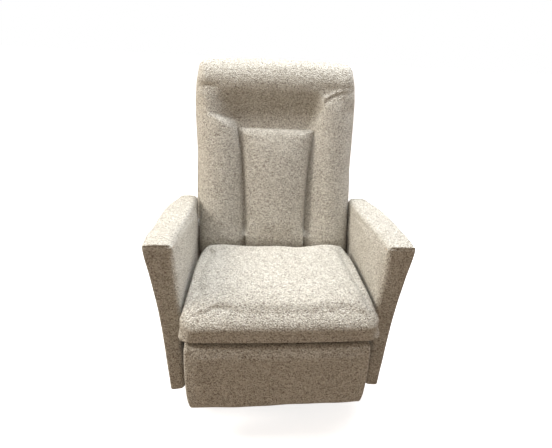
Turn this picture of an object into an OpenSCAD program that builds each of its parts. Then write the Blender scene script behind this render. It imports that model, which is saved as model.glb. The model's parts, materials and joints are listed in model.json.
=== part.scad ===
// Swivel rocker recliner: an upholstered chair that turns on a floor ring, rocks on crowned pads,
// reclines with the seat sliding forward, and swings out a footrest on parallel links.
// Millimetres. X is the sitter's left, Y points to the back of the chair, Z is up.
// The origin is on the swivel axis, on the floor.

/* [Overall size] */
// Height of the back's crown above the floor
overall_h = 1080; // [1050:5:1110]
// Width across the arms at their top front corners
arm_front_w = 776; // [764:2:800]
// Width across the arms at their top rear corners
arm_rear_w = 704; // [696:2:720]
// Width across the arms at the foot, in front
arm_foot_w = 684; // [680:2:700]
// Width across the arms at the foot, at the rear
arm_rear_foot_w = 658; // [650:2:670]
// Clear width between the arms
arm_gap_w = 590; // [588:1:594]
// Height of the arm tops in front
arm_front_h = 612; // [590:2:630]
// Height of the arm tops at the rear
arm_rear_h = 579; // [565:2:590]
// Height of the arms' lower edge above the floor
arm_foot_h = 90; // [84:1:96]
// Distance of the arms' front face ahead of the swivel axis
arm_front_out = 286; // [282:1:296]
// Distance of the arms' rear face behind the swivel axis
arm_rear_out = 242; // [238:1:260]

/* [Seat] */
// Width of the seat cushion in front
seat_front_w = 574; // [560:2:580]
// Width of the seat cushion where it meets the back
seat_rear_w = 530; // [520:2:540]
// Distance of the seat nose ahead of the swivel axis
seat_nose_out = 389; // [385:1:395]
// Height of the seat top at the nose
seat_nose_h = 444; // [438:1:450]
// Height of the seat top where it meets the back
seat_rear_h = 436; // [430:1:442]
// Height of the seat nose's underside
seat_lip_h = 342; // [340:1:346]
// Height of the cushion's flat underside over the springs
deck_h = 304; // [303:1:308]
// Rise of the seat's middle over its edges
seat_crown = 14; // [6:1:20]

/* [Backrest] */
// Lean of the backrest from the vertical at rest, in degrees
back_lean = 19; // [17:1:21]
// Width of the back at its widest, near the top
back_top_w = 614; // [600:2:630]
// Width of the back where it passes the arm tops
back_arm_w = 566; // [560:2:570]
// Width of the back at the seat
back_seat_w = 532; // [530:1:540]
// Thickness of the front cushions
back_front_t = 91; // [86:1:96]
// Thickness of the wooden back frame
frame_t = 28; // [24:1:30]
// Padding behind the frame
back_rear_t = 32; // [24:1:40]
// Height of the groove under the head roll, along the back
groove_up = 530; // [510:2:550]
// Width of the lumbar panel at its top
lumbar_top_w = 300; // [280:2:320]
// Width of the lumbar panel at its bottom
lumbar_low_w = 218; // [206:2:232]
// Height of the lumbar panel's bottom, along the back
lumbar_low_up = 60; // [56:2:80]

/* [Footrest] */
// Width of the footrest at its top edge
footrest_top_w = 544; // [540:2:550]
// Width of the footrest at its bottom edge
footrest_low_w = 536; // [534:1:540]
// Height of the footrest's top edge when stowed
footrest_top_h = 334; // [330:1:336]
// Height of the footrest's bottom edge when stowed
footrest_low_h = 96; // [94:1:110]
// Thickness of the footrest pad in front of its board
footrest_pad_t = 41; // [36:1:44]
// Thickness of the footrest board
board_t = 16; // [14:1:18]
// Turn of the footrest from stowed to open, in degrees
footrest_turn = 97; // [92:1:98]
// How far the board's pivot travels forward
footrest_reach = 245; // [230:1:250]
// How far the board's pivot rises
footrest_rise = 63; // [56:1:66]

/* [Base] */
// Radius of the floor ring, to the middle of its tube
ring_r = 250; // [244:1:252]
// Diameter of the floor ring's tube
ring_tube_d = 20; // [18:1:22]
// Height of the floor glides under the ring
glide_h = 5; // [4:0.5:6]
// Rise from the middle of the ring's tube to the hub plate
hub_rise = 23; // [20:1:24]
// Ball diameter of the swivel bearing
ball_d = 8; // [7:0.5:9]
// Radius of the ball track
raceway_r = 62; // [58:1:66]
// Number of bearing balls
ball_count = 24; // [12:1:30]
// Diameter of the swivel spindle
spindle_d = 16; // [14:1:18]

/* [Rocker] */
// Radius of the rocker cams
rocker_r = 240; // [225:5:260]
// Radius of the crowned pads that the cams rock on
pad_crown_r = 30; // [26:1:33]
// Half the distance between the two rocker rails
rail_out = 190; // [186:1:194]
// Length of a rocker rail
rail_l = 330; // [320:5:340]
// Height from the pads' crown to the top of the cams
cam_h = 58; // [56:1:60]
// Number of curls in a rocker spring
rocker_spring_curls = 4; // [3:1:5]

/* [Fits] */
// Radial running clearance of a pin in its hole
pin_gap = 0.05; // [0.03:0.01:0.08]
// Gap between soft pieces and what they pass
soft_gap = 2; // [1:0.5:3]
// Gap between a rolling or sliding pair
run_gap = 0.3; // [0.2:0.05:0.5]
// Gap between the rocker cams and their pads at rest
cam_gap = 0.42; // [0.4:0.02:0.5]

/* [Hidden] */
$fn = 48;
// Overrun of a cut past the face that it opens
cut = 1;
// Facets of a rounded corner in a padded outline
corner_steps = 4;
fabric_colour = [0.76, 0.71, 0.63];
steel_colour = [0.16, 0.16, 0.17];
zinc_colour = [0.70, 0.71, 0.72];
wood_colour = [0.74, 0.58, 0.38];
nylon_colour = [0.90, 0.89, 0.84];
plastic_colour = [0.13, 0.12, 0.12];

// Levels of the base and the turntable
ring_mid_h = glide_h + ring_tube_d / 2;
hub_plate_t = 3;
hub_plate_w = 190;
race_plate_t = 3;
race_plate_w = 170;
ball_sink = 1.8;
lower_race_h = ring_mid_h + hub_rise + hub_plate_t;
ball_h = lower_race_h + race_plate_t + ball_d / 2 - ball_sink;
upper_race_h = ball_h + ball_d / 2 - ball_sink;
channel_bottom_h = upper_race_h + race_plate_t;
channel_h = 25;
channel_w = 30;
channel_wall = 2.5;
rail_h = 30;
rail_w = 30;
rail_wall = 2.5;
rail_bottom_h = channel_bottom_h + channel_h;
rail_top_h = rail_bottom_h + rail_h;
pad_h = 5;
pad_half_l = 24;
pad_base_t = 1.5;
rock_h = rail_top_h + pad_h;
cam_top_h = rock_h + cam_h;
cam_w = 24;
cam_arc_half_l = 122;
cam_web_h = 21;
cam_rear_y = 170;
cam_front_y = -150;
glide_d = 24;
arm_bar_w = 32;
arm_bar_t = 4;
race_bolt_d = 6;
race_bolt_share = 0.42;
channel_y = race_plate_w * race_bolt_share;

// Rocker springs and their brackets
spring_x = 150;
spring_y = 120;
spring_bracket_t = 3;
spring_bracket_w = 44;
spring_coil_r = 15;
spring_wire_d = 5;
spring_cup_h = 5;
spring_seat_gap = 0.3;
coil_sides = 6;
coil_rings = 8;

// Rocking frame, side by side from the middle outwards
tube_w = 25;
tube_wall = 2;
front_tube_y = 38;
rear_tube_y = 150;
side_plate_x = 304;
side_plate_t = 4;
flange_w = 20;
flange_t = 3;
arm_frame_x = side_plate_x + side_plate_t;
arm_frame_t = 16;
arm_bolt_d = 8;
arm_bolts_at = [[-228, 262], [-30, 206], [180, 206]];
arm_frame_in = 16;
arm_board = 62;
window_low = 250;
arm_top_r = 17;
arm_foot_r = 13;
arm_rear_r = 44;
arm_crown = 3;

// Back pivot and the pin that drives the seat
back_pivot = [170, 318];
pivot_d = 16;
pivot_head_d = 24;
pivot_spacer_d = 22;
drive_drop = 98;
drive_pin_d = 10;
drive_head_d = 18;
drive_spacer_d = 15;
drive_slot_gap = 1.8;
bracket_x = 248;
bracket_t = 3.5;
recline_deg = 36;
seat_ratio = 95;
slide_lean = 10;
slide_travel = seat_ratio * recline_deg * PI / 180;

// Seat plates, rails and springs
seat_plate_x = 276;
seat_plate_t = 3;
seat_plate_top = 300;
seat_plate_low = 234;
seat_plate_front_h = 38;
tail_margin = 20;
roller_d = 14;
roller_head_d = 19;
front_roller = [-250, 276];
rear_roller = [75, 260];
rail_sec_w = 20;
rail_sec_h = 30;
front_rail_y = -318;
rear_rail_y = 28;
seat_rail_top = 298;
seat_rail_wall = 2;
zigzag_x = [-180, -60, 60, 180];
zigzag_wire_d = 3.6;
zigzag_half_w = 22;
zigzag_turns = 12;
clip_l = 12;
clip_t = 2;
clip_w = 16;

// Footrest links: layers step inwards from the seat plate
link_t = 3;
link_gap = 2.5;
link_w = 20;
bar_share = 0.88;
slot_share = 0.98;
rivet_d = 8;
rivet_head_d = 14;
rivet_head_t = 1.9;
head_gap = 0.2;
swing_pivot = [-160, 262];
guide_offset_l = 55;
guide_offset_deg = 10;
tilt_offset_l = 45;
tilt_offset_deg = 48;
board_half_w = 262;
board_margin = 8;
board_back_y = -(seat_nose_out - soft_gap) + footrest_pad_t + board_t;
board_pivot_back = 25;
board_pivot_drop = 85;
bracket_flange_w = 28;
torque_tube_w = 22;
torque_tube_wall = 2;
stub_d = 14;
stub_head_d = 22;
swing_link_w = 24;

// Release
release_y = -110;
release_h = 436;
cable_exit_h = 264;
cup_l = 112;
cup_w = 62;
cup_depth = 26;
cup_wall = 2.5;
cup_lip = 6;
cup_lip_t = 2;
cup_stand = 2;
paddle_gap = 1.5;
paddle_t = 4;
paddle_in = 7;
paddle_drop = 6;
finger_room = 16;
release_pin_d = 4;
cable_d = 6;

// Padded edges
arm_edge = 15;
arm_wall = 9;
seat_edge = 24;
back_edge = 36;
lumbar_edge = 24;
footrest_edge = 15;

// Shared functions and modules

function toward(deg) = [cos(deg), sin(deg)];
function clamped(v, low, high) = max(low, min(high, v));
function unit(v) = v / norm(v);
function summed(list, i = 0) = i == len(list) - 1 ? list[i] : list[i] + summed(list, i + 1);
function middle(list) = summed(list) / len(list);

// Points of a round corner about a centre, with its own radius each way
function corner(centre, radii, from_deg, to_deg, steps = corner_steps) =
  [for (i = [0:steps])
    let (deg = from_deg + (to_deg - from_deg) * i / steps)
      centre + [radii[0] * cos(deg), radii[1] * sin(deg)]];

// One ring of a padded form. A profile point is [depth, height, low side, high side,
// crown in depth, crown in height, core depth, core height]; edges shrink towards the core.
function pad_ring(profile, edge, across, turn) =
  [for (p = profile)
    let (
      half = (p[3] - p[2]) / 2,
      off = across * (half - edge) + edge * sin(turn),
      fade = 1 - pow(off / half, 2),
      keep = cos(turn)
    )
      [p[2] + half + off,
       p[6] + (p[0] - p[6]) * keep + p[4] * fade,
       p[7] + (p[1] - p[7]) * keep + p[5] * fade]];

pad_edge_turns = [80, 55, 27];
pad_across_shares = [-1, -0.78, -0.5, -0.2, 0.2, 0.5, 0.78, 1];

// A padded form, crowned in the middle with its sides drawn in at the edges
module pad(profile, edge, bulge = 0) {
  low_rings = [for (turn = pad_edge_turns) pad_ring(profile, edge, -1, -turn)];
  mid_rings = [for (share = pad_across_shares) pad_ring(profile, edge, share, 0)];
  high_turns = [for (i = [len(pad_edge_turns) - 1:-1:0]) pad_edge_turns[i]];
  high_rings = [for (turn = high_turns) pad_ring(profile, edge, 1, turn)];
  skin(concat(low_rings, mid_rings, high_rings), bulge);
}

// Closed skin over rings of equal length, each end closed by a fan
module skin(rings, bulge = 0) {
  n = len(rings[0]);
  last = len(rings) - 1;
  ends = [middle(rings[0]) - [bulge, 0, 0], middle(rings[last]) + [bulge, 0, 0]];
  sides = [for (i = [0:last - 1], j = [0:n - 1])
    let (k = (j + 1) % n, a = i * n, b = (i + 1) * n)
      each [[a + j, b + k, a + k], [a + j, b + j, b + k]]];
  caps = [for (j = [0:n - 1])
    let (k = (j + 1) % n, a = last * n, c = (last + 1) * n)
      each [[c, j, k], [c + 1, a + k, a + j]]];
  polyhedron(points = concat([for (ring = rings) each ring], ends), faces = concat(sides, caps));
}

// Frame directions carried along a path without twist
function carried(path, i, side) =
  let (t = unit(path[min(i + 1, len(path) - 1)] - path[max(i - 1, 0)]))
    unit(side - (side * t) * t);
function carried_sides(path, i, side) =
  i == len(path) ? [] :
  let (s = carried(path, i, side)) concat([s], carried_sides(path, i + 1, s));

// One unbroken round tube along a path
module tube(path, r, first_side) {
  sides = carried_sides(path, 0, first_side);
  rings = [for (i = [0:len(path) - 1])
    let (
      t = unit(path[min(i + 1, len(path) - 1)] - path[max(i - 1, 0)]),
      u = cross(t, sides[i])
    )
      [for (k = [0:coil_sides - 1])
        path[i] + r * (cos(360 * k / coil_sides) * sides[i] + sin(360 * k / coil_sides) * u)]];
  skin(rings);
}

// Least distance between turns of a path, less the wire
function least_gap(path, wire_d, apart) =
  min([for (i = [0:len(path) - 1 - apart], j = [i + apart:len(path) - 1])
    norm(path[i] - path[j])]) - wire_d;

// Extrudes a drawing of the side view, [y, z], from x to x + t
module in_side_view(x, t) {
  translate([x, 0, 0]) rotate([90, 0, 90]) linear_extrude(t) children();
}

module both_sides() {
  children();
  mirror([1, 0, 0]) children();
}

// A straight bar with round eyes at its ends, drawn in the side view; its sides stand in from the eyes
module bar_outline(from, to, w, share = bar_share) {
  translate(from) circle(d = w);
  translate(to) circle(d = w);
  translate(from) rotate(atan2(to[1] - from[1], to[0] - from[0]))
    translate([0, -share * w / 2]) square([norm(to - from), share * w]);
}

// A round rod along X through a point of the side view
module rod_x(x, l, at, d) {
  translate([x, at[0], at[1]]) rotate([0, 90, 0]) cylinder(d = d, h = l);
}

function layer_x(k) = seat_plate_x - k * (link_t + link_gap);

// Rivet through two neighbouring layers, from the inner face x0 to the outer face x1
module rivet(at, x0, x1) {
  rod_x(x0 - head_gap, x1 - x0 + 2 * head_gap, at, rivet_d);
  rod_x(x0 - head_gap - rivet_head_t, rivet_head_t, at, rivet_head_d);
  rod_x(x1 + head_gap, rivet_head_t, at, rivet_head_d);
}

module pin_hole(x, t, at, d) {
  rod_x(x - cut, t + 2 * cut, at, d + 2 * pin_gap);
}

// Places worked out from the sizes above

// Board pivot and the link vectors, all [y, z], stowed
board_pivot = [board_back_y + board_pivot_back, footrest_top_h - board_pivot_drop];
travel = [-footrest_reach, footrest_rise];
swing_l = norm(travel) / (2 * sin(footrest_turn / 2));
travel_deg = atan2(travel[1], travel[0]);
swing_joint = swing_pivot + swing_l * toward(travel_deg + 90 + footrest_turn / 2);
guide_offset = guide_offset_l * toward(-guide_offset_deg);
tilt_offset = tilt_offset_l * toward(-tilt_offset_deg);
guide_pivot = swing_pivot + guide_offset;
guide_joint = swing_joint + guide_offset;
tilt_low = swing_joint + tilt_offset;
tilt_high = board_pivot + tilt_offset;
drive_pin = back_pivot - [0, drive_drop];

// Arm outline in side view: the top line falls to the rear
arm_front_y = -arm_front_out;
function arm_top(y) =
  arm_front_h + (arm_rear_h - arm_front_h) * (y - arm_front_y) / (arm_rear_out - arm_front_y);
// Outer half width of an arm at a place of the side view
function arm_outer(y, z) =
  let (
    back = (y - arm_front_y) / (arm_rear_out - arm_front_y),
    up = (z - arm_foot_h) / (arm_front_h - arm_foot_h),
    low = arm_foot_w + (arm_rear_foot_w - arm_foot_w) * back,
    high = arm_front_w + (arm_rear_w - arm_front_w) * back
  )
    (low + (high - low) * up) / 2;

// The back's own axes: depth runs rearwards from the frame's front, up runs along the back
module on_back() {
  translate([0, back_pivot[0], back_pivot[1]]) rotate([-back_lean, 0, 0]) children();
}
back_head_depth = -58;
head_r = 50;
head_lift = 11;
back_up = (overall_h - back_pivot[1] + back_head_depth * sin(back_lean)) / cos(back_lean) - head_lift;
back_low_up = 20;
head_in = 8;
arm_level_up = (arm_rear_h - back_pivot[1]) / cos(back_lean);
cushion_rear = -3;
function back_half(up) = lookup(up, [
  [0, back_seat_w / 2],
  [arm_level_up, back_arm_w / 2],
  [back_up - 2 * head_r, back_top_w / 2],
  [back_up, back_top_w / 2 - head_in]]);

// Base

module ring_tube() {
  translate([0, 0, ring_mid_h]) rotate_extrude($fn = 96)
    translate([ring_r, 0]) circle(d = ring_tube_d);
}

module ring_base() {
  bar_top = ring_mid_h + hub_rise;
  bar_bend = 3 * hub_plate_w / 4;
  weld_top = bar_top + hub_plate_t / 2;
  hub_hole_d = spindle_d + 2 * pin_gap;
  color(steel_colour) difference() {
    union() {
      ring_tube();
      for (turn = [45:90:315]) rotate(turn) translate([0, arm_bar_w / 2, 0]) rotate([90, 0, 0])
        linear_extrude(arm_bar_w) polygon([
          [hub_plate_w / 4, bar_top - arm_bar_t], [bar_bend, bar_top - arm_bar_t],
          [ring_r - ring_tube_d / 4, ring_mid_h - arm_bar_t / 2],
          [ring_r - ring_tube_d / 4, ring_mid_h + arm_bar_t / 2],
          [bar_bend, weld_top], [hub_plate_w / 4, weld_top]]);
      translate([-hub_plate_w / 2, -hub_plate_w / 2, bar_top])
        cube([hub_plate_w, hub_plate_w, hub_plate_t]);
    }
    translate([0, 0, bar_top - cut]) cylinder(d = hub_hole_d, h = hub_plate_t + 2 * cut);
    race_bolt_places() translate([0, 0, bar_top - arm_bar_t - cut])
      cylinder(d = race_bolt_d + 2 * pin_gap, h = arm_bar_t + hub_plate_t + 2 * cut);
  }
}

module race_bolt_places() {
  place = race_plate_w * race_bolt_share;
  for (sx = [-1, 1], sy = [-1, 1]) translate([sx * place, sy * place, 0]) children();
}

module floor_glides() {
  color(nylon_colour) difference() {
    for (turn = [0:60:300]) rotate(turn) translate([ring_r, 0, 0])
      cylinder(d = glide_d, h = ring_mid_h - ring_tube_d / 10);
    ring_tube();
  }
}

module race_plate(h) {
  difference() {
    translate([-race_plate_w / 2, -race_plate_w / 2, h]) cube([race_plate_w, race_plate_w, race_plate_t]);
    translate([0, 0, ball_h]) rotate_extrude($fn = 96)
      translate([raceway_r, 0]) circle(d = ball_d + 2 * pin_gap);
    translate([0, 0, h - cut]) cylinder(d = spindle_d + 2 * pin_gap, h = race_plate_t + 2 * cut);
    translate([0, 0, h - cut]) race_bolt_places()
      cylinder(d = race_bolt_d + 2 * pin_gap, h = race_plate_t + 2 * cut);
  }
}

module bearing_lower_race() {
  color(zinc_colour) race_plate(lower_race_h);
}

module bearing_balls() {
  color(zinc_colour) for (i = [0:ball_count - 1]) rotate(360 * i / ball_count)
    translate([raceway_r, 0, ball_h]) sphere(d = ball_d, $fn = 24);
}

module swivel_spindle() {
  head_h = 7;
  nut_h = 9;
  washer_t = 2.4;
  nut_w = 26;
  washer_d = 30;
  low = lower_race_h - hub_plate_t;
  color(zinc_colour) {
    translate([0, 0, low - head_h]) cylinder(d = nut_w, h = head_h, $fn = 6);
    translate([0, 0, low]) cylinder(d = spindle_d, h = channel_bottom_h - low + washer_t + nut_h);
    translate([0, 0, channel_bottom_h + run_gap]) cylinder(d = washer_d, h = washer_t);
    translate([0, 0, channel_bottom_h + run_gap + washer_t]) cylinder(d = nut_w, h = nut_h, $fn = 6);
  }
}

module race_bolts() {
  low = lower_race_h - hub_plate_t - arm_bar_t;
  color(zinc_colour) race_bolt_places() {
    translate([0, 0, low]) cylinder(d = race_bolt_d, h = arm_bar_t + hub_plate_t + race_plate_t);
    translate([0, 0, low - arm_bar_t]) cylinder(d = 2 * race_bolt_d, h = arm_bar_t, $fn = 6);
  }
}

// Turntable

module bearing_upper_race() {
  color(zinc_colour) race_plate(upper_race_h);
}

module cross_channels() {
  span = rail_out + rail_w / 2;
  foot = channel_y + channel_w / 2;
  color(steel_colour) difference() {
    for (y = [-channel_y, channel_y]) translate([0, y - channel_w / 2, channel_bottom_h]) {
      difference() {
        translate([-span, 0, 0]) cube([2 * span, channel_w, channel_h]);
        translate([-span - cut, channel_wall, -cut])
          cube([2 * (span + cut), channel_w - 2 * channel_wall, channel_h - channel_wall + cut]);
      }
      translate([-foot, 0, 0]) cube([2 * foot, channel_w, channel_wall]);
    }
    translate([0, 0, channel_bottom_h - cut]) race_bolt_places()
      cylinder(d = race_bolt_d + 2 * pin_gap, h = channel_wall + 2 * cut);
  }
}

module rocker_rail() {
  color(steel_colour) translate([rail_out - rail_w / 2, -rail_l / 2, rail_bottom_h]) difference() {
    cube([rail_w, rail_l, rail_h]);
    translate([rail_wall, -cut, rail_wall])
      cube([rail_w - 2 * rail_wall, rail_l + 2 * cut, rail_h - 2 * rail_wall]);
  }
}

module rocker_rail_left() { rocker_rail(); }
module rocker_rail_right() { mirror([1, 0, 0]) rocker_rail(); }

module rocker_pads() {
  color(nylon_colour) both_sides() in_side_view(rail_out - cam_w / 2, cam_w) intersection() {
    union() {
      translate([0, rock_h - pad_crown_r]) circle(r = pad_crown_r);
      translate([-pad_half_l, rail_top_h]) square([2 * pad_half_l, pad_base_t]);
    }
    translate([-pad_half_l, rail_top_h]) square([2 * pad_half_l, pad_h]);
  }
}

// A spring bracket reaches inwards from a rail or a cam, with a cup round the spring's end
module spring_bracket(h, up, root_x) {
  reach = root_x - spring_x + spring_bracket_w / 2;
  cup_r = spring_coil_r + spring_wire_d;
  translate([root_x - reach, -spring_bracket_w / 2, h]) cube([reach, spring_bracket_w, spring_bracket_t]);
  translate([spring_x, 0, up ? h + spring_bracket_t : h - spring_cup_h]) difference() {
    cylinder(r = cup_r, h = spring_cup_h);
    translate([0, 0, -cut]) cylinder(r = cup_r - spring_bracket_t / 2, h = spring_cup_h + 2 * cut);
  }
}

module spring_brackets_lower() {
  color(steel_colour) both_sides() for (y = [-spring_y, spring_y]) translate([0, y, 0])
    spring_bracket(rail_top_h - spring_bracket_t, true, rail_out - rail_w / 2);
}

module turntable_bolts() {
  color(zinc_colour) translate([0, 0, upper_race_h]) race_bolt_places() {
    cylinder(d = race_bolt_d, h = race_plate_t + channel_wall);
    translate([0, 0, race_plate_t + channel_wall]) cylinder(d = 2 * race_bolt_d, h = arm_bar_t, $fn = 6);
  }
}

// Rocking frame

module rocker_cam() {
  web_h = cam_top_h - cam_web_h;
  low = rock_h + cam_gap;
  color(wood_colour) in_side_view(rail_out - cam_w / 2, cam_w) {
    intersection() {
      translate([0, low + rocker_r]) circle(r = rocker_r, $fn = 180);
      translate([-cam_arc_half_l, low]) square([2 * cam_arc_half_l, cam_top_h - low]);
    }
    translate([cam_front_y, web_h]) square([cam_rear_y - cam_front_y, cam_web_h]);
  }
}

module rocker_cam_left() { rocker_cam(); }
module rocker_cam_right() { mirror([1, 0, 0]) rocker_cam(); }

module spring_brackets_upper() {
  color(steel_colour) both_sides() for (y = [-spring_y, spring_y]) translate([0, y, 0])
    spring_bracket(cam_top_h - spring_bracket_t, false, rail_out - cam_w / 2);
}

rocker_spring_low = rail_top_h + spring_wire_d / 2 + spring_seat_gap;
rocker_spring_high = cam_top_h - spring_bracket_t - spring_wire_d / 2 - spring_seat_gap;
rocker_spring_path = [for (i = [0:rocker_spring_curls * coil_rings])
  let (share = i / (rocker_spring_curls * coil_rings), turn = 360 * i / coil_rings)
    [spring_coil_r * cos(turn), spring_coil_r * sin(turn),
     rocker_spring_low + share * (rocker_spring_high - rocker_spring_low)]];

module rocker_springs() {
  echo(rocker_spring_least_gap = least_gap(rocker_spring_path, spring_wire_d, coil_rings - 1));
  color(zinc_colour) both_sides() for (y = [-spring_y, spring_y])
    translate([spring_x, y, 0]) tube(rocker_spring_path, spring_wire_d / 2, [1, 0, 0]);
}

module cross_tube(y) {
  span = 2 * (side_plate_x - run_gap / 3);
  color(steel_colour) translate([-span / 2, y - tube_w / 2, cam_top_h]) difference() {
    cube([span, tube_w, tube_w]);
    translate([-cut, tube_wall, tube_wall])
      cube([span + 2 * cut, tube_w - 2 * tube_wall, tube_w - 2 * tube_wall]);
  }
}

module cross_tube_front() { cross_tube(front_tube_y); }
module cross_tube_rear() { cross_tube(rear_tube_y); }

side_plate_low = cam_top_h - flange_t;
lobe_w = 34;
roller_lobe_d = 22;
module side_plate() {
  rear = back_pivot[0] + lobe_w;
  color(steel_colour) difference() {
    union() {
      in_side_view(side_plate_x, side_plate_t) union() {
        polygon([
          [front_roller[0], front_roller[1] - lobe_w / 2], [front_tube_y - tube_w, side_plate_low],
          [rear, side_plate_low], [rear, deck_h - lobe_w / 2], [front_roller[0], deck_h - lobe_w / 2]]);
        translate(front_roller) circle(d = roller_lobe_d);
        translate(back_pivot) circle(d = lobe_w);
        translate([back_pivot[0] - lobe_w / 2, side_plate_low])
          square([lobe_w, back_pivot[1] - side_plate_low]);
      }
      translate([side_plate_x - flange_w, front_tube_y - tube_w, side_plate_low])
        cube([flange_w, rear - front_tube_y + tube_w, flange_t]);
    }
    for (at = [front_roller, rear_roller]) pin_hole(side_plate_x, side_plate_t, at, roller_d / 2);
    pin_hole(side_plate_x, side_plate_t, back_pivot, pivot_d);
    for (at = arm_bolts_at) pin_hole(side_plate_x, side_plate_t, at, arm_bolt_d);
    pin_hole(side_plate_x, side_plate_t, [release_y, cable_exit_h], 2 * cable_d);
  }
}

module side_plate_left() { side_plate(); }
module side_plate_right() { mirror([1, 0, 0]) side_plate(); }

// Each roller turns on a stud that reaches in from the side plate through the seat plate's slot
module track_rollers() {
  color(zinc_colour) both_sides() for (at = [front_roller, rear_roller]) {
    rod_x(seat_plate_x - head_gap, side_plate_x + side_plate_t - seat_plate_x + head_gap, at, roller_d / 2);
    rod_x(seat_plate_x - head_gap, side_plate_x - seat_plate_x, at, roller_d);
    rod_x(seat_plate_x - head_gap - rivet_head_t, rivet_head_t, at, roller_head_d);
  }
}

module back_pivot_studs() {
  color(zinc_colour) both_sides() {
    rod_x(bracket_x - head_gap, side_plate_x + side_plate_t - bracket_x + head_gap, back_pivot, pivot_d);
    rod_x(bracket_x - head_gap - rivet_head_t, rivet_head_t, back_pivot, pivot_head_d);
    rod_x(bracket_x + bracket_t + head_gap, side_plate_x - bracket_x - bracket_t - 2 * head_gap, back_pivot,
      pivot_spacer_d);
  }
}

// Arms

module arm_frame_outline(grow = 0) {
  front = arm_front_y + arm_frame_in - grow;
  rear = arm_rear_out - arm_frame_in + grow;
  polygon([
    [front, arm_foot_h + grow / 2], [rear, arm_foot_h + grow / 2],
    [rear, arm_top(rear) - arm_rear_r + grow],
    [rear - arm_rear_r / 2, arm_top(rear) - arm_frame_in + grow],
    [front, arm_top(front) - arm_frame_in + grow]]);
}

module arm_frame() {
  front = arm_front_y + arm_frame_in + arm_board;
  rear = arm_rear_out - arm_frame_in - arm_board;
  brace = arm_board / 2;
  mid_y = (front + rear) / 2;
  color(wood_colour) difference() {
    in_side_view(arm_frame_x, arm_frame_t) difference() {
      translate([0, run_gap]) arm_frame_outline();
      polygon([[front, window_low], [mid_y - brace, window_low],
        [mid_y - brace, arm_top(mid_y) - arm_board], [front, arm_top(front) - arm_board]]);
      polygon([[mid_y + brace, window_low], [rear, window_low],
        [rear, arm_top(rear) - arm_board], [mid_y + brace, arm_top(mid_y) - arm_board]]);
    }
    for (at = arm_bolts_at) pin_hole(arm_frame_x, arm_frame_t, at, arm_bolt_d);
  }
}

module arm_frame_left() { arm_frame(); }
module arm_frame_right() { mirror([1, 0, 0]) arm_frame(); }

// Arm cover: a padded form round the wooden frame, flared outwards to its top
function arm_point(p) =
  let (
    top = p[1] > arm_rear_h - arm_rear_r ? 1 : 0,
    core_y = clamped(p[0], arm_front_y + arm_edge, arm_rear_out - arm_edge)
  )
    [p[0], p[1], arm_gap_w / 2, arm_outer(p[0], p[1]), 0, top * arm_crown,
     core_y, clamped(p[1], arm_foot_h + arm_edge, arm_top(core_y) - arm_edge)];
arm_profile = [for (p = concat(
  corner([arm_front_y + arm_foot_r, arm_foot_h + arm_foot_r], [arm_foot_r, arm_foot_r], 180, 270, 2),
  corner([arm_rear_out - arm_foot_r, arm_foot_h + arm_foot_r], [arm_foot_r, arm_foot_r], 270, 360, 2),
  corner([arm_rear_out - arm_rear_r, arm_top(arm_rear_out) - arm_rear_r], [arm_rear_r, arm_rear_r], 0, 90),
  corner([arm_front_y + arm_top_r, arm_top(arm_front_y) - arm_top_r], [arm_top_r, arm_top_r], 90, 180)))
  arm_point(p)];

module arm_cover() {
  recess_front = front_roller[0] - roller_lobe_d / 2 - 2 * run_gap;
  recess_top = max(front_roller[1] + roller_lobe_d / 2, deck_h - lobe_w / 2) + 2 * run_gap;
  recess_x = arm_gap_w / 2 - cut;
  recess_w = arm_frame_x + run_gap - recess_x;
  lobe = lobe_w / 2 + arm_wall;
  difference() {
    pad(arm_profile, arm_edge);
    in_side_view(arm_frame_x - run_gap, arm_frame_t + 2 * run_gap) union() {
      arm_frame_outline(2 * run_gap);
      translate([arm_front_y + arm_frame_in, arm_foot_h - cut])
        square([arm_rear_out - arm_front_y - 2 * arm_frame_in, arm_foot_r]);
    }
    in_side_view(recess_x, recess_w) {
      translate([recess_front, arm_foot_h - cut])
        square([arm_rear_out + cut - recess_front, recess_top - arm_foot_h + cut]);
      translate([back_pivot[0] - lobe, arm_foot_h])
        square([arm_rear_out + cut - back_pivot[0] + lobe, back_pivot[1] + lobe - arm_foot_h]);
    }
  }
}

module arm_cover_left() { color(fabric_colour) arm_cover(); }
module arm_cover_right() {
  color(fabric_colour) mirror([1, 0, 0]) difference() {
    arm_cover();
    on_arm_side() translate([-cup_depth - run_gap, -cup_l / 2 - run_gap, -cup_w / 2 - run_gap])
      cube([cup_depth + run_gap + 2 * cut + cup_lip_t, cup_l + 2 * run_gap, cup_w + 2 * run_gap]);
    on_arm_side() translate([-run_gap, -cup_l / 2 - cup_lip - run_gap, -cup_w / 2 - cup_lip - run_gap])
      cube([cup_depth, cup_l + 2 * (cup_lip + run_gap), cup_w + 2 * (cup_lip + run_gap)]);
    rod_x(arm_frame_x, cup_back[0] - arm_frame_x + cut, [cup_back[1], cup_back[2]], 2 * cable_d);
  }
}

module arm_bolts() {
  head_t = 4;
  color(zinc_colour) both_sides() for (at = arm_bolts_at) {
    rod_x(side_plate_x, side_plate_t + arm_frame_t, at, arm_bolt_d);
    rod_x(side_plate_x - head_t, head_t, at, 2 * arm_bolt_d);
  }
}

// Seat

// Y of the backrest's front face at a height, at rest
function back_face_y(z) =
  back_pivot[0] - back_front_t / cos(back_lean) + (z - back_pivot[1]) * tan(back_lean);

module slot_cut(x, t, from, to, d) {
  in_side_view(x - cut, t + 2 * cut) bar_outline(from, to, d, slot_share);
}

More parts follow.
